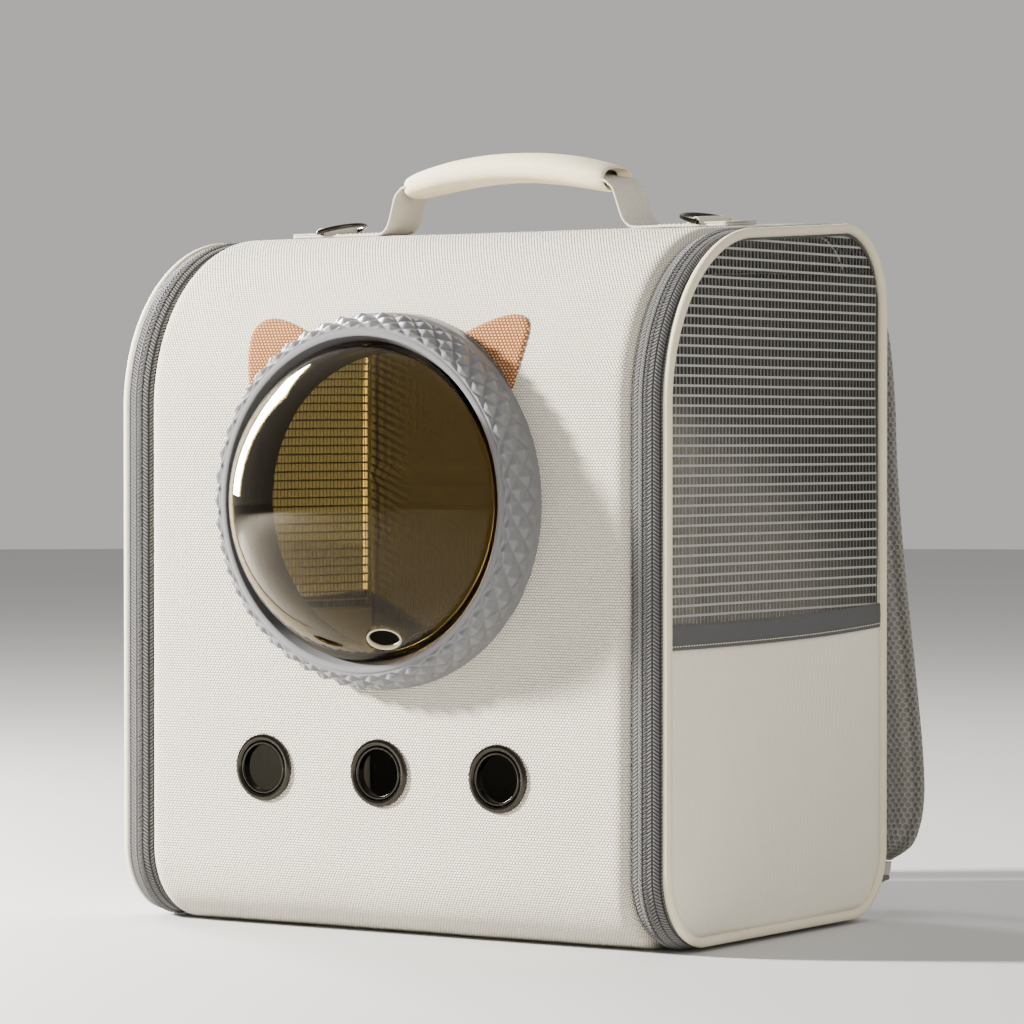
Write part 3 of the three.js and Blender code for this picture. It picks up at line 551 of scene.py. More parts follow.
def thread():
    """Twisted sewing thread."""
    look = Look("ivory thread", Sheen_Weight=0.1)
    fuzz = look.noise(2500, 2)
    return look.finish(look.mix(fuzz, (0.5, 0.47, 0.38), (0.74, 0.71, 0.62)), 0.7, fuzz, 0.05)


PIPING, NET, EAR, AMBER, NICKEL, THREAD = (
    make() for make in (piping_cloth, net_thread, ear_weave, amber, nickel, thread)
)


def swell(a, b, seed):
    """Slow unevenness of stuffed cloth: three crossed sines whose phases come from a seed."""
    phase = np.random.default_rng(seed).uniform(0, 2 * np.pi, (3, 2))
    waves = zip(((1, 19, 23), (0.6, 41, 37), (0.3, 83, 71)), phase)
    return sum(k * np.sin(m * MM * a + p) * np.sin(n * MM * b + q) for (k, m, n), (p, q) in waves) / 1.9


def pushed_out(points, x, z, radius, front):
    """Front points inside a round hole moved out to its rim, and kept on the face."""
    dx, dz = points[..., 0] - x, points[..., 2] - z
    far = np.maximum(np.hypot(dx, dz), 1e-3)
    inside = (far < radius) & front
    grow = np.where(inside, radius / far, 1)
    points[..., 0], points[..., 2] = x + dx * grow, z + dz * grow
    points[..., 1] = np.where(inside, front_y(points[..., 2]), points[..., 1])


def shell():
    """Section of x and inset, round at each side, carried along the outline from seam to seam.

    The window and the eyelets' holes are left out, and cells round them end on the holes' rims.
    """
    edge = 9
    turn = np.linspace(0, np.pi / 2, 7)[1:]
    flat = np.linspace(edge - SHELL_HALF, SHELL_HALF - edge, 84)
    side = SHELL_HALF - edge + edge * np.sin(turn)
    x = np.concatenate([-side[::-1], flat, side])
    drop = (ZIP_DEPTH + 1.4) * (1 - np.cos(turn))
    inset = np.concatenate([drop[::-1], 0 * flat, drop])
    places = route(WRAP, 3.9)
    run = along(on_route(places, x[None], inset[None]), 0)
    uneven = 0.5 * swell(x[None], run[:, None], 4) * ease((SHELL_HALF - np.abs(x[None])) / 30)
    points = on_route(places, x[None], inset[None] + uneven)
    uv = np.stack(np.meshgrid(along(points, 1), run), -1)
    keep = np.ones((len(points) - 1, len(x) - 1), bool)
    front = points[..., 1] < -20
    holes = [(BUBBLE_X, BUBBLE_Z, HOLE_R), *((k * EYELET_X, EYELET_Z, EYELET_HOLE) for k in (-1, 0, 1))]
    for at_x, at_z, radius in holes:
        mid = (points[:-1, :-1] + points[1:, 1:]) / 2
        keep &= (np.hypot(mid[..., 0] - at_x, mid[..., 2] - at_z) >= radius) | (mid[..., 1] >= -20)
        pushed_out(points, at_x, at_z, radius, front)
    piece = surface("shell_cloth", points, uv=uv, keep=keep, cloth=3)
    dress(piece, IVORY, "ivory_cloth", ["front_shell"], inside=SHADED_LINING)


def back_pad():
    """Three foam pads side by side: inset = crown times a rounded sine between sewn channels."""
    x = np.linspace(-PIPE_FOOT + 0.3, PIPE_FOOT - 0.3, 121)
    places = route(REAR, 3.5)
    run = along(on_route(places, x[None], 0 * x[None]), 0)
    share = (x / PIPE_FOOT * 1.5 + 1.5) % 1
    pad = np.abs(np.sin(np.pi * share)) ** 0.35
    ends = ease(run / 20) * ease((run[-1] - run) / 20)
    bars = 1 - 0.8 * np.exp(-(((run[:, None] - run[-1] * np.array([0.34, 0.67])) / 3) ** 2)).sum(1)
    inset = 3.6 - 4.6 * pad[None] * (ends * bars)[:, None]
    piece = surface("back_pad", on_route(places, x[None], inset), cloth=5)
    dress(piece, BACK_MESH, "back_mesh", ["back_panel"], inside=SHADED_LINING)


def seam_tape(name, corner, angle):
    """Folded tape over a cross seam: a low arch across it, carried round a little of the corner."""
    cy, cz, r = corner[:3]
    share = np.linspace(-1, 1, 13)[:, None]
    turn = angle + 0.15 * share
    out = r + 1.3 - share**4
    points = spread(np.linspace(-ZIP_HIGH, ZIP_HIGH, 120), cy + out * np.cos(turn), cz + out * np.sin(turn))
    dress(surface(name, points, cloth=1.6), PIPING, "piping_cloth")


def edging(label, sign):
    """A cord's round section carried all round the side, further in along the front."""
    turn = circle(28)
    places = route(CORNERS, 3.2, closed=True)
    inset = cord_inset(places[:, 3])[:, None] + CORD_R + CORD_R * np.sin(turn)
    points = on_route(places, sign * (HALF - CORD_R + CORD_R * np.cos(turn))[None], inset)
    dress(surface("edging_" + label, points, (True, True)), PIPING, "piping_cloth", ["binding_" + label])


def zip_strip(label, sign):
    """Zip tape that leaves the shell's edge, bulges a little and rounds over to the cord."""
    x, inset = spline([(170.7, 7), (171.6, 4), (174, 2.6), (177, 2.1), (180, 1.9), (184, 2.1),
                       (187.6, 2.9), (190.2, 5), (191.3, 8)], 33).T
    points = on_route(route(WRAP, 3), sign * x[None], inset[None])
    dress(surface("zip_tape_" + label, points, cloth=1.2), ZIP_TAPE, "zip_cloth", ["zip_" + label])


def zip_coil(label, sign):
    """Two rows of teeth that mesh: height = a half ellipse across, times a square-ish wave along.

    The second row's wave is half a pitch behind the first's.
    """
    middle, wide, rise, pitch = 179.6, 6, 1.6, 2.9
    a = np.linspace(0, np.pi, 15)
    places = route(WRAP, 0.72)
    run = along(on_route(places, np.zeros((1, 1)), np.zeros((1, 1))), 0)[:, None]
    row = np.where(a < np.pi / 2, 0, np.pi)
    wave = ease(0.5 + 0.9 * np.sin(run * (2 * np.pi / pitch) + row))
    height = rise * np.sin(a) * (0.5 + 0.5 * wave)
    points = on_route(places, sign * (middle - wide / 2 * np.cos(a))[None], 2.3 - height)
    dress(surface("zip_teeth_" + label, points, cloth=0.6), TEETH, "zip_cloth")


def zip_pull(label, sign):
    """A slider body, its bridge and a flat pull, as soft-edged boxes laid along the zip."""
    cy, cz, r = CORNERS[0][:3]
    angle = math.radians(52)
    out = np.array([0, math.cos(angle), math.sin(angle)])
    run = np.array([0, -math.sin(angle), math.cos(angle)])
    at = np.array([sign * (ZIP_LOW + ZIP_HIGH) / 2, cy, cz]) + (r + 0.9) * out
    piece = blocks("zip_slider_metal_" + label, lambda p: at + p @ np.array([run, [1, 0, 0], out]), (
        ((6, 4.2, 1.5), (0, 0, 0)), ((3.4, 1.1, 1.3), (0, 0, 2)), ((8.5, 3, 0.75), (-11.5, 0, 2.2))))
    dress(piece, NICKEL, "dark_plastic", ["zip_slider_" + label])


def side_net(label, sign):
    """A net: a grid of thick weft and paired warp strands whose cells between are left out."""
    pitch, warp, weft = 4.0, 0.75, 1.35
    low = BAND_LOW + 7
    y0 = np.arange(FRONT + 6, BACK - 6, pitch)
    z0 = np.arange(low, top_z(BACK), NET_TALL)
    y = (y0[:, None] + np.array([0, warp / 2, warp])).ravel()
    z = (z0[:, None] + np.array([0, weft / 2, weft])).ravel()
    crown = np.where((np.arange(len(y)) % 3 == 1)[None] | (np.arange(len(z)) % 3 == 1)[:, None], 0.25, 0)
    yy, zz = np.meshgrid(y, z)
    sag = 0.8 * swell(yy, zz, 7 + sign)
    points = np.stack([sign * (PIPE_FOOT + 0.9 + crown + sag), yy, zz], -1)
    _, my, mz = np.moveaxis((points[:-1, :-1] + points[1:, 1:]) / 2, -1, 0)
    hole = (np.arange(len(z) - 1) % 3 == 2)[:, None] & (np.arange(len(y) - 1) % 3 == 2)[None]
    start, end = side_span(mz, CORD_R)
    inside = (my > start) & (my < end) & (mz < top_z(my) - CORD_R - cord_inset(np.pi / 2))
    for (cy, cz, r, *_), side in zip(CORNERS[:2], (1, -1)):
        room = r - CORD_R - cord_inset(np.arctan2(mz - cz, my - cy))
        inside &= ~((mz > cz) & (side * (my - cy) > 0) & (np.hypot(my - cy, mz - cz) > room))
    uv = np.stack([yy - y[0], zz - low], -1)
    piece = surface("side_net_" + label, points, uv=uv, keep=inside & ~hole, cloth=0.5)
    dress(piece, NET, "grey_net", ["side_mesh_" + label])


def side_grid(low, high, rows, inset):
    """A side cloth between two heights: shares up it, and its points' y and z."""
    v = np.linspace(0, 1, rows)[:, None]
    z = low + (high - low) * v
    start, end = side_span(z, inset)
    return v, start + (end - start) * ACROSS, z


def side_cloth(name, sign, low, high, off, inset, dressing, bulge=0.0, folds=0.0):
    """Cloth between two heights: off plus bulge times (1 - a^4)(1 - b^2), a and b from -1 to 1.

    Soft folds fall with height below the top edge.
    """
    thick = 1.2
    v, y, z = side_grid(low, high, 40, inset)
    a, b = 2 * ACROSS - 1, 2 * v - 1
    belly = bulge * (1 - a**4) * (1 - b**2) ** 0.8 + folds * swell(y, z * 1.3, 11 + sign) * (1 - a**6)
    piece = surface(name, spread(sign * (PIPE_FOOT + off + thick + belly), y, z), cloth=thick)
    dress(piece, *dressing)


def lift(u):
    """The pocket's top rises towards the back: lift times u cubed."""
    return BAND_LIFT * u**3


def sides(label, sign):
    """All of one side: cord, zip, net, lining, pocket and the pocket's elastic band."""
    for make in (edging, zip_strip, zip_coil, zip_pull, side_net):
        make(label, sign)
    side_cloth("side_lining_" + label, sign, 6, BAND_LOW + 7 + 0 * ACROSS, -0.4, 2,
               (LINING, "ivory_cloth", ["side_wall_" + label]))
    side_cloth("pocket_" + label, sign, 7, BAND_LOW + lift(ACROSS) + 1, 1.9, 4,
               (POCKET, "pocket_cloth", ["side_pocket_" + label]), bulge=3.2, folds=0.35)
    low = BAND_LOW + lift(ACROSS)
    v, y, z = side_grid(low, low + BAND_TALL, 9, 3.5)
    puff = 0.5 * np.sin(np.pi * v) ** 0.5 + 0.4 * (1 - (2 * ACROSS - 1) ** 4)
    band = surface("band_" + label, spread(sign * (PIPE_FOOT + 3.5 + puff), y, z), cloth=1.5)
    dress(band, ELASTIC, "band_elastic", ["pocket_band_" + label])


def ring():
    """The ring's section turned round, with diamond pillows on its outer side.

    A diamond's height is the lesser of two zigzags, in p and in q, which are place round plus
    and less place down, so the grooves run along both diagonals and four facets meet on top.
    """
    count, steps = 46, 4
    shoulder, sleeve, seat = LIP_R + LIP_WIDE, HOLE_R + 0.3, DOME_R + 0.3
    turn = circle(count * 14)[:, None]
    down = np.linspace(0, 1, steps * 10 + 1)
    bend = np.pi / 2 * (0.06 + 0.86 * down)
    round_share = turn / (2 * np.pi) * count
    pillow = np.minimum(*(np.abs((round_share + k * down * steps / 2) % 1 - 0.5) for k in (1, -1))) * 2
    fade = ease(down * 9) * ease((1 - down) * 9)
    lifted = 3.4 * pillow**0.85 * fade - fade
    side_r = shoulder + (RING_R - shoulder - 1 + lifted) * np.sin(bend)
    side_t = (RING_TALL + lifted) * np.cos(bend)
    lip = np.linspace(0, np.pi, 9)
    lip_r = LIP_R + LIP_WIDE / 2 - LIP_WIDE / 2 * np.cos(lip)
    lip_t = RING_TALL - 0.6 + 0.9 * np.sin(lip)
    foot = FRONT - front_y(BUBBLE_Z + RING_R * np.cos(turn)) - 0.6
    ones = np.ones_like(turn)
    r = np.concatenate([ones * [sleeve, sleeve, seat, seat, seat + 0.6], ones * lip_r, side_r,
                        ones * [RING_R, RING_R, RING_R - 3]], 1)
    t = np.concatenate([ones * [-2, 4, 4, 18, 19.5], ones * lip_t, side_t, ones * 1.2, foot, foot - 0.4], 1)
    points = np.stack([BUBBLE_X + r * np.sin(turn), FRONT - t, BUBBLE_Z + r * np.cos(turn)], -1)
    dress(surface("ring_quilted", points, (True, True)), RING_GREY, "ring_plastic", ["bubble_ring"])


def collar():
    """A sleeve through the hole, turned round, whose rear end follows the shell's face."""
    bore, out = HOLE_R - 2.5, HOLE_R - 0.4
    profile = [[bore, -9], [bore, 15], [bore + 0.7, 16], [out - 0.4, 16], [out, 15.4], [out, 1], [out, -4]]
    points = turned_front(profile, 120, BUBBLE_X, BUBBLE_Z)
    points[..., 1] += np.array([1, 0, 0, 0, 0, 0, 1]) * (front_y(points[..., 2]) - FRONT)
    dress(surface("collar_sleeve", points, (True, True)), COLLAR, "dark_plastic", ["bubble_collar"])


def dome():
    """A cap of a sphere on a straight skirt, with a round vent whose rim lies on the sphere."""
    ball = (DOME_R**2 + DOME_RISE**2) / (2 * DOME_RISE)
    centre = DOME_EDGE + DOME_RISE - ball
    fall = np.linspace(0, math.acos((DOME_EDGE - centre) / ball), 66)
    r = np.concatenate([ball * np.sin(fall), np.full(7, DOME_R)])
    t = np.concatenate([centre + ball * np.cos(fall), np.linspace(DOME_EDGE, 4.4, 8)[1:]])
    turn = circle(240)[:, None]
    local = spread(r * np.sin(turn), t - centre, r * np.cos(turn))
    across, up = math.sin(VENT_TILT), math.cos(VENT_TILT)
    axis = np.array([across * math.sin(VENT_TURN), up, -across * math.cos(VENT_TURN)])
    rim_t = math.sqrt(ball**2 - VENT_R**2)

    def placed(p):
        return np.stack([BUBBLE_X + p[..., 0], FRONT - centre - p[..., 1], BUBBLE_Z + p[..., 2]], -1)

    mid = (local[:, :-1] + np.roll(local, -1, 0)[:, 1:]) / 2
    off = np.linalg.norm(mid - (mid @ axis)[..., None] * axis, axis=-1)
    keep = (off > VENT_R) | (mid @ axis < 0)
    flat = local - (local @ axis)[..., None] * axis
    far = np.maximum(np.linalg.norm(flat, axis=-1, keepdims=True), 1e-3)
    rim = flat / far * VENT_R + axis * rim_t
    local = np.where((far < VENT_R) & ((local @ axis) > 0)[..., None], rim, local)
    piece = surface("dome_clear", placed(local), (True, False), keep=keep, cloth=DOME_WALL, weld=True)
    dress(piece, AMBER, "amber_plastic", ["bubble_dome"])
    aside = np.array([math.cos(VENT_TURN), 0, math.sin(VENT_TURN)])
    aside = unit(aside - (aside @ axis) * axis)
    around, turn = circle(72)[:, None, None], circle(16)[:, None]
    out = np.cos(around) * aside + np.sin(around) * np.cross(axis, aside)
    lip = (VENT_R - 0.1 + 0.75 * np.cos(turn)) * out + (rim_t - DOME_WALL / 2 + 1.5 * np.sin(turn)) * axis
    dress(surface("vent_lip", placed(lip), (True, True)), VENT_EDGE, "amber_plastic")


def ear(label, sign):
    """A patch filled in from its middle: point = middle + share (edge - middle).

    The edge is two bends from the inner side over the tip to the outer side, and the ring's
    circle below. The patch lies on the shell.
    """
    corner, inner, outer, top, low = 13, 50, 98.5, 365.2, 293.8

    def bend(a, b, c, n=24):
        s = np.linspace(0, 1, n)[:-1, None]
        return (1 - s) ** 2 * a + 2 * s * (1 - s) * b + s * s * c

    a, b, c, d, e = np.array([(inner, low), (inner, top - corner), (outer - corner, top),
                              (outer, top - 1.3 * corner), (outer - corner, low)])
    edge = np.concatenate([
        np.linspace(a, b, 20)[:-1],
        bend(b, np.array([inner + 1.6 * corner, top - 0.1 * corner]), c),
        bend(c, np.array([outer + 0.2 * corner, top]), d),
        bend(d, np.array([outer - 0.1 * corner, top - 2.6 * corner]), e, 40),
        np.linspace(e, a, 30)[:-1],
    ]) * [sign, 1]
    hub, limit = np.array([BUBBLE_X, BUBBLE_Z]), RING_R + 0.5
    edge = edge[np.hypot(*(edge - hub).T) > limit]
    turn = np.linspace(*np.arctan2(edge[[-1, 0], 1] - BUBBLE_Z, edge[[-1, 0], 0] - BUBBLE_X), 40)[:, None]
    edge = np.concatenate([edge, hub + limit * np.concatenate([np.cos(turn), np.sin(turn)], 1)])
    middle = np.array([sign * 80, 346])
    share = np.concatenate([np.linspace(0, 0.9, 16), [0.94, 0.97, 0.99, 1]])[:, None, None]
    flat = middle + share * (edge - middle)
    puff = 1.5 - 0.8 * ease((share[..., 0] - 0.9) / 0.1)
    cz, r = CORNERS[1][1:3]
    z = flat[..., 1] + puff * np.maximum(0, flat[..., 1] - cz) / r
    points = np.stack([flat[..., 0], front_y(flat[..., 1]) - puff * 0.9, z], -1)
    uv = np.concatenate([flat, flat[:, :1]], 1)
    piece = surface("ear_patch_" + label, points, (False, True), uv=uv, cloth=1.2, weld=True)
    dress(piece, EAR, "tan_weave", ["ear_" + label])


def eyelet(label, x):
    """A rolled crown, a bead, a barrel and a rolled washer behind, turned round."""

    def roll(r, t, wide, tall, start=0, count=15, p=1.0):
        a = start + np.linspace(0, np.pi, count)
        return np.stack([r + wide * np.cos(a), t + tall * power(np.sin(a), p)], 1)

    profile = np.concatenate([
        roll(17.9, 0.2, 2.1, 2.2, p=0.8), roll(14.75, 0.9, 0.95, 1), [[EYELET_BORE, -2]],
        roll(15.7, -3.6, 1.9, 1.4, np.pi, 9), [[EYELET_HOLE, -3.4], [EYELET_HOLE, 0]],
    ])
    piece = surface("eyelet_metal_" + label, turned_front(profile, 96, x, EYELET_Z), (True, True))
    dress(piece, NICKEL, "black_nickel", ["eyelet_" + label])


def on_top(points):
    """Points given across, up the slope and off the top, placed in the bag's frame."""
    x, y, z = np.moveaxis(np.asarray(points, float), -1, 0)
    return np.stack([x, *tilted(y, z, SLOPE)], -1) + TOP_PLACE


def capped(points):
    """A closed section's grid with each end drawn in to its middle."""
    ends = [np.repeat(points[k].mean(0, keepdims=True), points.shape[1], 0)[None] for k in (0, -1)]
    return np.concatenate([ends[0], points, ends[1]])


def tape(name, node, line, width, thick, place=on_top):
    """Webbing carried along a line of distance and height, and put in place."""
    points = place(carry(np.stack([line[:, 0], 0 * line[:, 0], line[:, 1]], 1), strap_section(width, thick)))
    dress(surface(name, capped(points), (False, True), weld=True), WEBBING, "strap_webbing", [node])


GRIP_HALF, GRIP_RISE, GRIP_BOW = 73, 39.4, 9.6


def handle_line():
    """The handle's middle line: flat on the top, up each leg and bowed through the grip."""
    end, low, foot, leg = GRIP_RISE - GRIP_BOW, 1.1, 89, 16
    rising = np.array([[158, low], [125, low], [105, low], [foot + 0.3 * leg, low],
                       [foot, low + 0.06 * end], [foot - 0.25 * leg, low + 0.24 * end],
                       [GRIP_HALF + 0.42 * leg, 0.8 * end], [GRIP_HALF + 0.2 * leg, 0.93 * end]])
    x = np.linspace(-GRIP_HALF, GRIP_HALF, 9)
    bow = np.stack([x, GRIP_RISE - GRIP_BOW * (x / GRIP_HALF) ** 2], 1)
    return spline(np.concatenate([rising * [-1, 1], bow, rising[::-1]]), 500)


def handle():
    """The handle's webbing, and its wrap: a soft oval that narrows towards both open ends."""
    tape("handle_strap", "handle_webbing", evenly(handle_line(), 2), 36, 1.6)
    tuck = np.array([-GRIP_HALF + 7, -GRIP_HALF + 1])
    x = np.concatenate([tuck, np.linspace(-GRIP_HALF, GRIP_HALF, 75), -tuck[::-1]])
    share = np.abs(x) / GRIP_HALF
    path = np.stack([x, 0 * x, GRIP_RISE - GRIP_BOW * share**2], 1)
    size = 1 - 0.16 * share**4
    size[:4] = size[:-5:-1] = 0.5, 0.74, 0.8, 0.84
    turn = circle(56)
    lap = 1 + 0.05 * ease((turn - 4.4) / 0.08) * ease((5.6 - turn) / 0.5)
    base = np.stack([power(np.cos(turn), 0.72) * 21, power(np.sin(turn), 0.85) * 9 * lap], 1)
    wrinkle = 1 + 0.018 * swell(np.abs(x)[:, None] * 3, turn[None] * 20, 5)
    section = base[None] * (size[:, None] * wrinkle)[..., None]
    points = path[:, None] + np.insert(section, 0, 0, -1)
    grip = surface("grip_wrap", on_top(points), (False, True))
    dress(grip, CREAM, "cream_cloth", ["handle_grip"])


BAR_PLACE, BAR_TALL, WIRE = 137, 3.6, 1.4


def d_ring(label, sign):
    """Round wire along a D: a straight bar and a half ellipse, turned up by the rest tilt."""
    reach, half, tilt = 16, 21.4, math.radians(14)
    angle = np.linspace(0.06, np.pi - 0.06, 72)
    bow = np.stack([-sign * reach * np.sin(angle) ** 0.9, half * np.cos(angle)], 1)
    corner = spline([bow[-2], bow[-1], [0.4 * sign, -half + 1.6], [0, -half + 4], [0, -half + 6]], 16)[4:]
    loop = np.concatenate([bow, corner, (corner * [1, -1])[::-1]])
    loop = np.stack([*loop.T, 0 * loop[:, 0]], 1)
    side = np.cross(unit(np.roll(loop, -1, 0) - np.roll(loop, 1, 0)), [0, 0, 1])
    turn = circle(14)[None, :, None]
    points = loop[:, None] + WIRE * (np.cos(turn) * side[:, None] + np.sin(turn) * np.array([0, 0, 1]))
    x, y, z = np.moveaxis(points, -1, 0)
    x, z = tilted(x, z, -sign * tilt)
    piece = surface("ring_wire_" + label, on_top(np.stack([x + sign * BAR_PLACE, y, z + BAR_TALL], -1)),
                    (True, True))
    dress(piece, NICKEL, "black_nickel", ["d_ring_" + label], "d_ring_" + label)


def ring_strap(label, sign):
    """A short webbing over the bar: flat, a hump on a circle about the bar, and flat again."""
    bend, low = WIRE + 0.8, 2.5
    hump = np.radians([-60, -30, 0, 30, 60])
    rows = np.concatenate([
        [[BAR_PLACE - 6.5, low], [BAR_PLACE - 1.45 * bend, low]],
        np.stack([BAR_PLACE + bend * np.sin(hump), BAR_TALL + bend * np.cos(hump)], 1),
        [[BAR_PLACE + 1.45 * bend, low], [BAR_PLACE + 9, low], [158, low]],
    ])
    tape("ring_webbing_" + label, "ring_loop_" + label, evenly(spline(rows, 160), 0.7) * [sign, 1], 36, 1)


# A shoulder strap from its seam down: share of drop, reach, spread and width
STRAP_ROWS = [
    (-0.014, 0.1, -0.4, 1), (-0.015, 0.37, -0.36, 1), (0.02, 0.67, -0.32, 1), (0.1, 0.91, -0.28, 1),
    (0.22, 0.98, -0.2, 1), (0.33, 1, -0.17, 1), (0.48, 1, 0, 1), (0.6, 0.98, 0.22, 1), (0.72, 0.93, 0.5, 1),
    (0.84, 0.85, 0.8, 1), (0.91, 0.79, 0.94, 0.98), (0.95, 0.76, 1, 0.88), (0.98, 0.74, 1, 0.68),
    (1, 0.73, 1, 0.36),
]
STRAP_TOP, STRAP_END = 398, 29
STRAP_REACH, WEB_Z = 80, 20
TIP = np.array([152, BACK + STRAP_REACH * STRAP_ROWS[-1][1]])


def shoulder_strap(label, sign):
    """A padded section, thick in the middle and thin in a border, carried down the strap's line.

    The line's fourth column is the width, which counts in its length, so that sections lie closer
    together where the strap narrows.
    """
    cy, cz, r = CORNERS[0][:3]
    x, lean = 126, 26
    seam = [x - 0.4 * lean, cy + (r + 0.6) * math.cos(BACK_SEAM), cz + (r + 0.6) * math.sin(BACK_SEAM), 1 / MM]
    rows = [[x + lean * s, BACK + STRAP_REACH * o, STRAP_TOP - (STRAP_TOP - STRAP_END) * d, w / MM]
            for d, o, s, w in STRAP_ROWS]
    line = evenly(spline([seam, *rows], 900), 2.6)
    path, width = line[:, :3] * [sign, 1, 1], line[:, 3] * MM
    across = power(np.cos(circle(64)), 0.8)
    face = np.sign(np.sin(circle(64) + 1e-6))
    half = 36 * width[:, None]
    inside = half * (1 - np.abs(across))
    thick = 2 * ease(inside / 1.5) + 4 * ease((inside - 7) / 5)
    thick = thick - 0.7 * np.exp(-(((inside - 7.5) / 1.2) ** 2))
    points = carry(path, np.stack([half * across, face * np.maximum(thick, 0)], -1), (1, 0, 0))
    piece = surface("strap_pad_" + label, capped(points), (False, True), weld=True)
    dress(piece, STRAP_MESH, "back_mesh", ["shoulder_strap_" + label])


def strap_end(label, sign):
    """Webbing from the strap's end through its adjuster to a cloth tab at the lower corner."""
    cy, _, r = CORNERS[3][:3]
    anchor = np.array([166, cy + math.sqrt(r**2 - (r - WEB_Z - 1.2) ** 2) + 0.3])
    run = unit(anchor - TIP)
    aside = np.array([-run[1], run[0]])
    length = np.linalg.norm(anchor - TIP) - 14

    def laid(points):
        points = np.asarray(points, float)
        xy = TIP + points[..., :1] * run + points[..., 1:2] * aside
        return np.concatenate([xy * [sign, 1], points[..., 2:]], -1)

    weave, bar, middle, pitch = 2.5, 2.2, 28, 9
    wave = [[middle + k * pitch + e * bar, WEB_Z + (weave if k == 0 else -weave)]
            for k in (-1, 0, 1) for e in (-1, 1)]
    rows = [[0, STRAP_END - 1.1], [0.6, WEB_Z + 7], [4, WEB_Z + 1.5], [10, WEB_Z - 1],
            *wave, [43.2, WEB_Z], [length - 0.3, WEB_Z]]
    tape("strap_tail_" + label, "strap_webbing_" + label, evenly(spline(rows, 300), 0.8), 25, 1.2, laid)
    rims = [((10.6, 1.5, 1.5), (middle, k * 15, WEB_Z)) for k in (-1, 1)]
    bars = [((1.6, 15, 1.5), (middle + k * pitch, 0, WEB_Z)) for k in (-1, 0, 1)]
    dress(blocks("adjuster_" + label, laid, rims + bars), DARK, "dark_plastic", ["strap_adjuster_" + label])
    share, flat = np.linspace(0, 1, 16)[:, None, None], np.linspace(-1, 1, 15)[:, None]
    start = anchor + flat * [15, 0]
    end = anchor - run * 14 - flat * aside * 12.6
    xy = (start + (end - start) * share) * [sign, 1]
    tall = 1.25 * (1 - flat**8 * 0.5) + 0 * share
    top, bottom = (np.concatenate([xy, WEB_Z + k * tall], -1) for k in (1, -1))
    grid = np.concatenate([top, bottom[:, ::-1]], 1)
    tab = surface("corner_tab_" + label, capped(grid), (False, True), weld=True)
    dress(tab, IVORY, "ivory_cloth", ["strap_anchor_" + label])


def sewn(name, line, normal, step, long):
    """A row of ivory stitches along a line: one small oval for each step."""
    line = evenly(np.asarray(line, float), step)
    mid = (line[1:] + line[:-1]) / 2
    run = unit(line[1:] - line[:-1])
    aside = unit(np.cross(run, normal))
    up = np.cross(aside, run)
    place, girth, size = np.array([-1, -0.7, 0, 0.7, 1]), np.array([0.02, 0.75, 1, 0.75, 0.02]), 0.36
    mid, run, aside, up = (v[:, None, None] for v in (mid, run, aside, up))
    turn = circle(6)[:, None]
    ovals = (mid + place[:, None, None] * long / 2 * run
             + girth[:, None, None] * size * (np.cos(turn) * aside + np.sin(turn) * up))
    n, k, m = ovals.shape[:3]
    keep = np.ones((n * k - 1, m), bool)
    keep[k - 1 :: k] = False
    piece = surface(name, ovals.reshape(n * k, m, 3), (False, True), keep=keep)
    dress(piece, THREAD, "ivory_cloth")


def seams(label, sign):
    """Stitch rows along the band's lower edge and along both edges of the handle's webbing ends."""
    s = np.linspace(0, 1, 200)
    z = BAND_LOW + lift(s) + 2.2
    start, end = side_span(z, 6)
    x = sign * (PIPE_FOOT + 4.15 + 0.4 * (1 - (2 * s - 1) ** 4))
    sewn("band_seam_" + label, np.stack([x, start + (end - start) * s, z], 1), [sign, 0, 0], 3, 2)
    for k, across in enumerate((-14, 14)):
        line = on_top(spread(sign * np.linspace(108, 155, 30), across, 2.0))
        sewn(f"handle_seam_{label}_{k}", line, [0, 0, 1], 3.4, 2.4)


for label, sign in (("left", -1), ("right", 1)):
    for make in (seams, sides, ear, d_ring, ring_strap, shoulder_strap, strap_end):
        make(label, sign)
shell()
back_pad()
seam_tape("seam_tape_top", CORNERS[0], BACK_SEAM)
seam_tape("seam_tape_low", CORNERS[3], LOW_SEAM)
ring()
collar()
dome()
for label, place in (("left", -EYELET_X), ("middle", 0), ("right", EYELET_X)):
    eyelet(label, place)
handle()


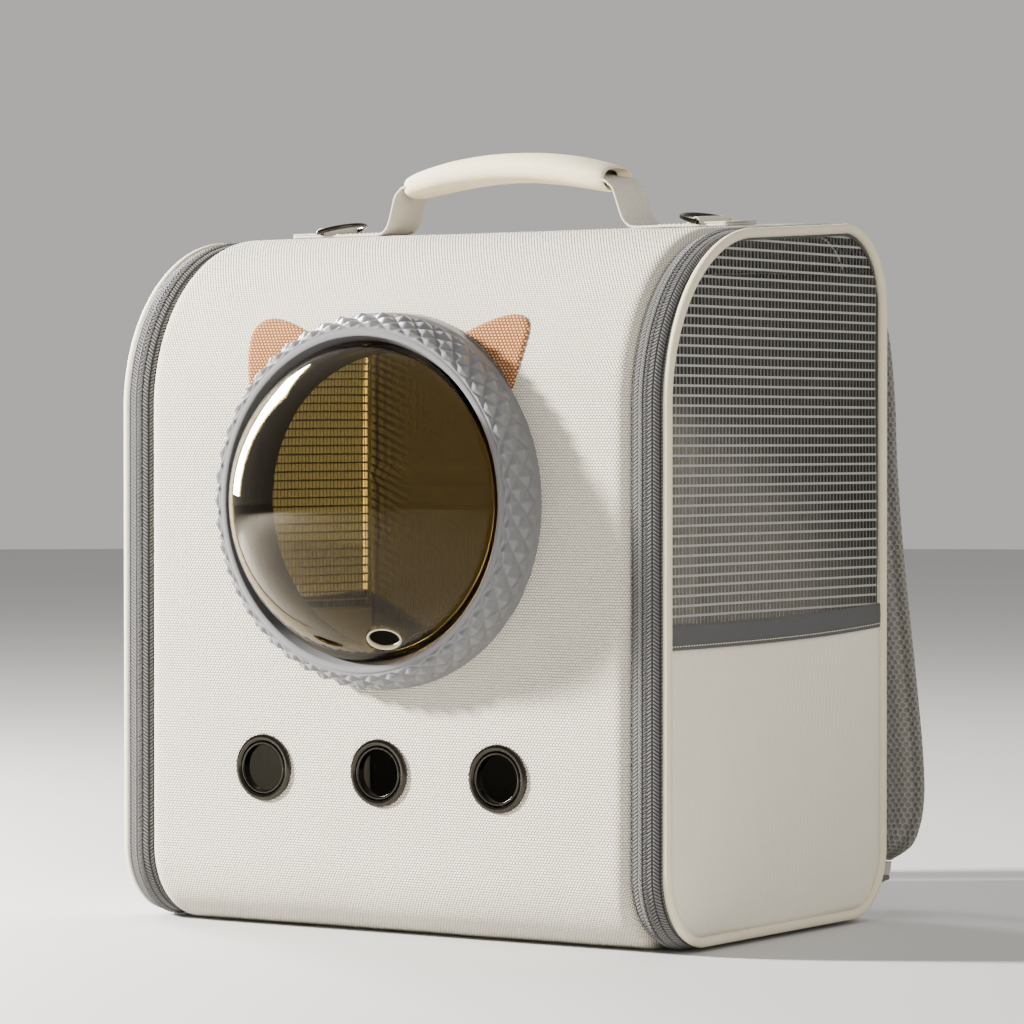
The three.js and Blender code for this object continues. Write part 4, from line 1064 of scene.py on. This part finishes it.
def stage():
    """A wide pale floor and sky, and five lights.

    The key comes from the upper left, the window shows only in glossy pieces, the fill stands on
    the right, one is behind, and a faint one is inside the bag.
    """
    turn, r = circle(64)[:, None], np.array([0.1, 500, 2000, 9000])
    floor = surface("floor", spread(r * np.cos(turn), r * np.sin(turn), -0.1), (True, False))
    look = Look("pale floor", Roughness=0.75)
    shade = look.mix(look.noise(3, 4) * 0.4, (0.52, 0.52, 0.52), (0.47, 0.47, 0.47))
    floor.data.materials.append(look.finish(shade))
    world = bpy.data.worlds.new("pale")
    world.use_nodes = True
    sky = world.node_tree.nodes["Background"]
    sky.inputs["Color"].default_value = (0.93, 0.915, 0.885, 1)
    sky.inputs["Strength"].default_value = 0.55
    bpy.context.scene.world = world
    for name, at, size, watts, colour, mirrored in (
        ("key", (-2.15, -1.4, 1.2), 0.26, 560, (1, 0.945, 0.86), False),
        ("window", (-1.7, 0.5, 0.8), (0.6, 1.1), 300, (1, 0.98, 0.95), True),
        ("fill", (2.3, -1.5, 0.9), 1.8, 40, (1, 0.945, 0.85), False),
        ("back", (0.4, 2.2, 1.6), 1.4, 18, (1, 1, 1), False),
        ("inside", (-0.09, -0.04, 0.1), 0.06, 0.09, (1, 0.97, 0.9), False),
    ):
        lamp = bpy.data.lights.new(name, "AREA")
        lamp.shape, (lamp.size, lamp.size_y) = "RECTANGLE", (size if isinstance(size, tuple) else (size, size))
        lamp.energy, lamp.color = watts, colour
        holder = bpy.data.objects.new(name, lamp)
        holder.location = at
        holder.rotation_euler = (Vector((0, 0, 0.25)) - Vector(at)).to_track_quat("-Z", "Y").to_euler()
        holder.visible_glossy = holder.visible_transmission = mirrored
        holder.visible_diffuse = not mirrored
        bpy.context.scene.collection.objects.link(holder)


def camera():
    """The photograph's view: a long lens to the bag's front right, a little below its middle."""
    data = bpy.data.cameras.new("camera")
    data.lens, data.sensor_width = 36 * 4449.8 / 1024, 36
    data.clip_end = 50
    eye = bpy.data.objects.new("camera", data)
    eye.location = (1.49025, -2.27196, 0.29488)
    eye.rotation_euler = (math.radians(90 - 0.974), 0, math.radians(33.154))
    bpy.context.scene.collection.objects.link(eye)
    bpy.context.scene.camera = eye


stage()
camera()
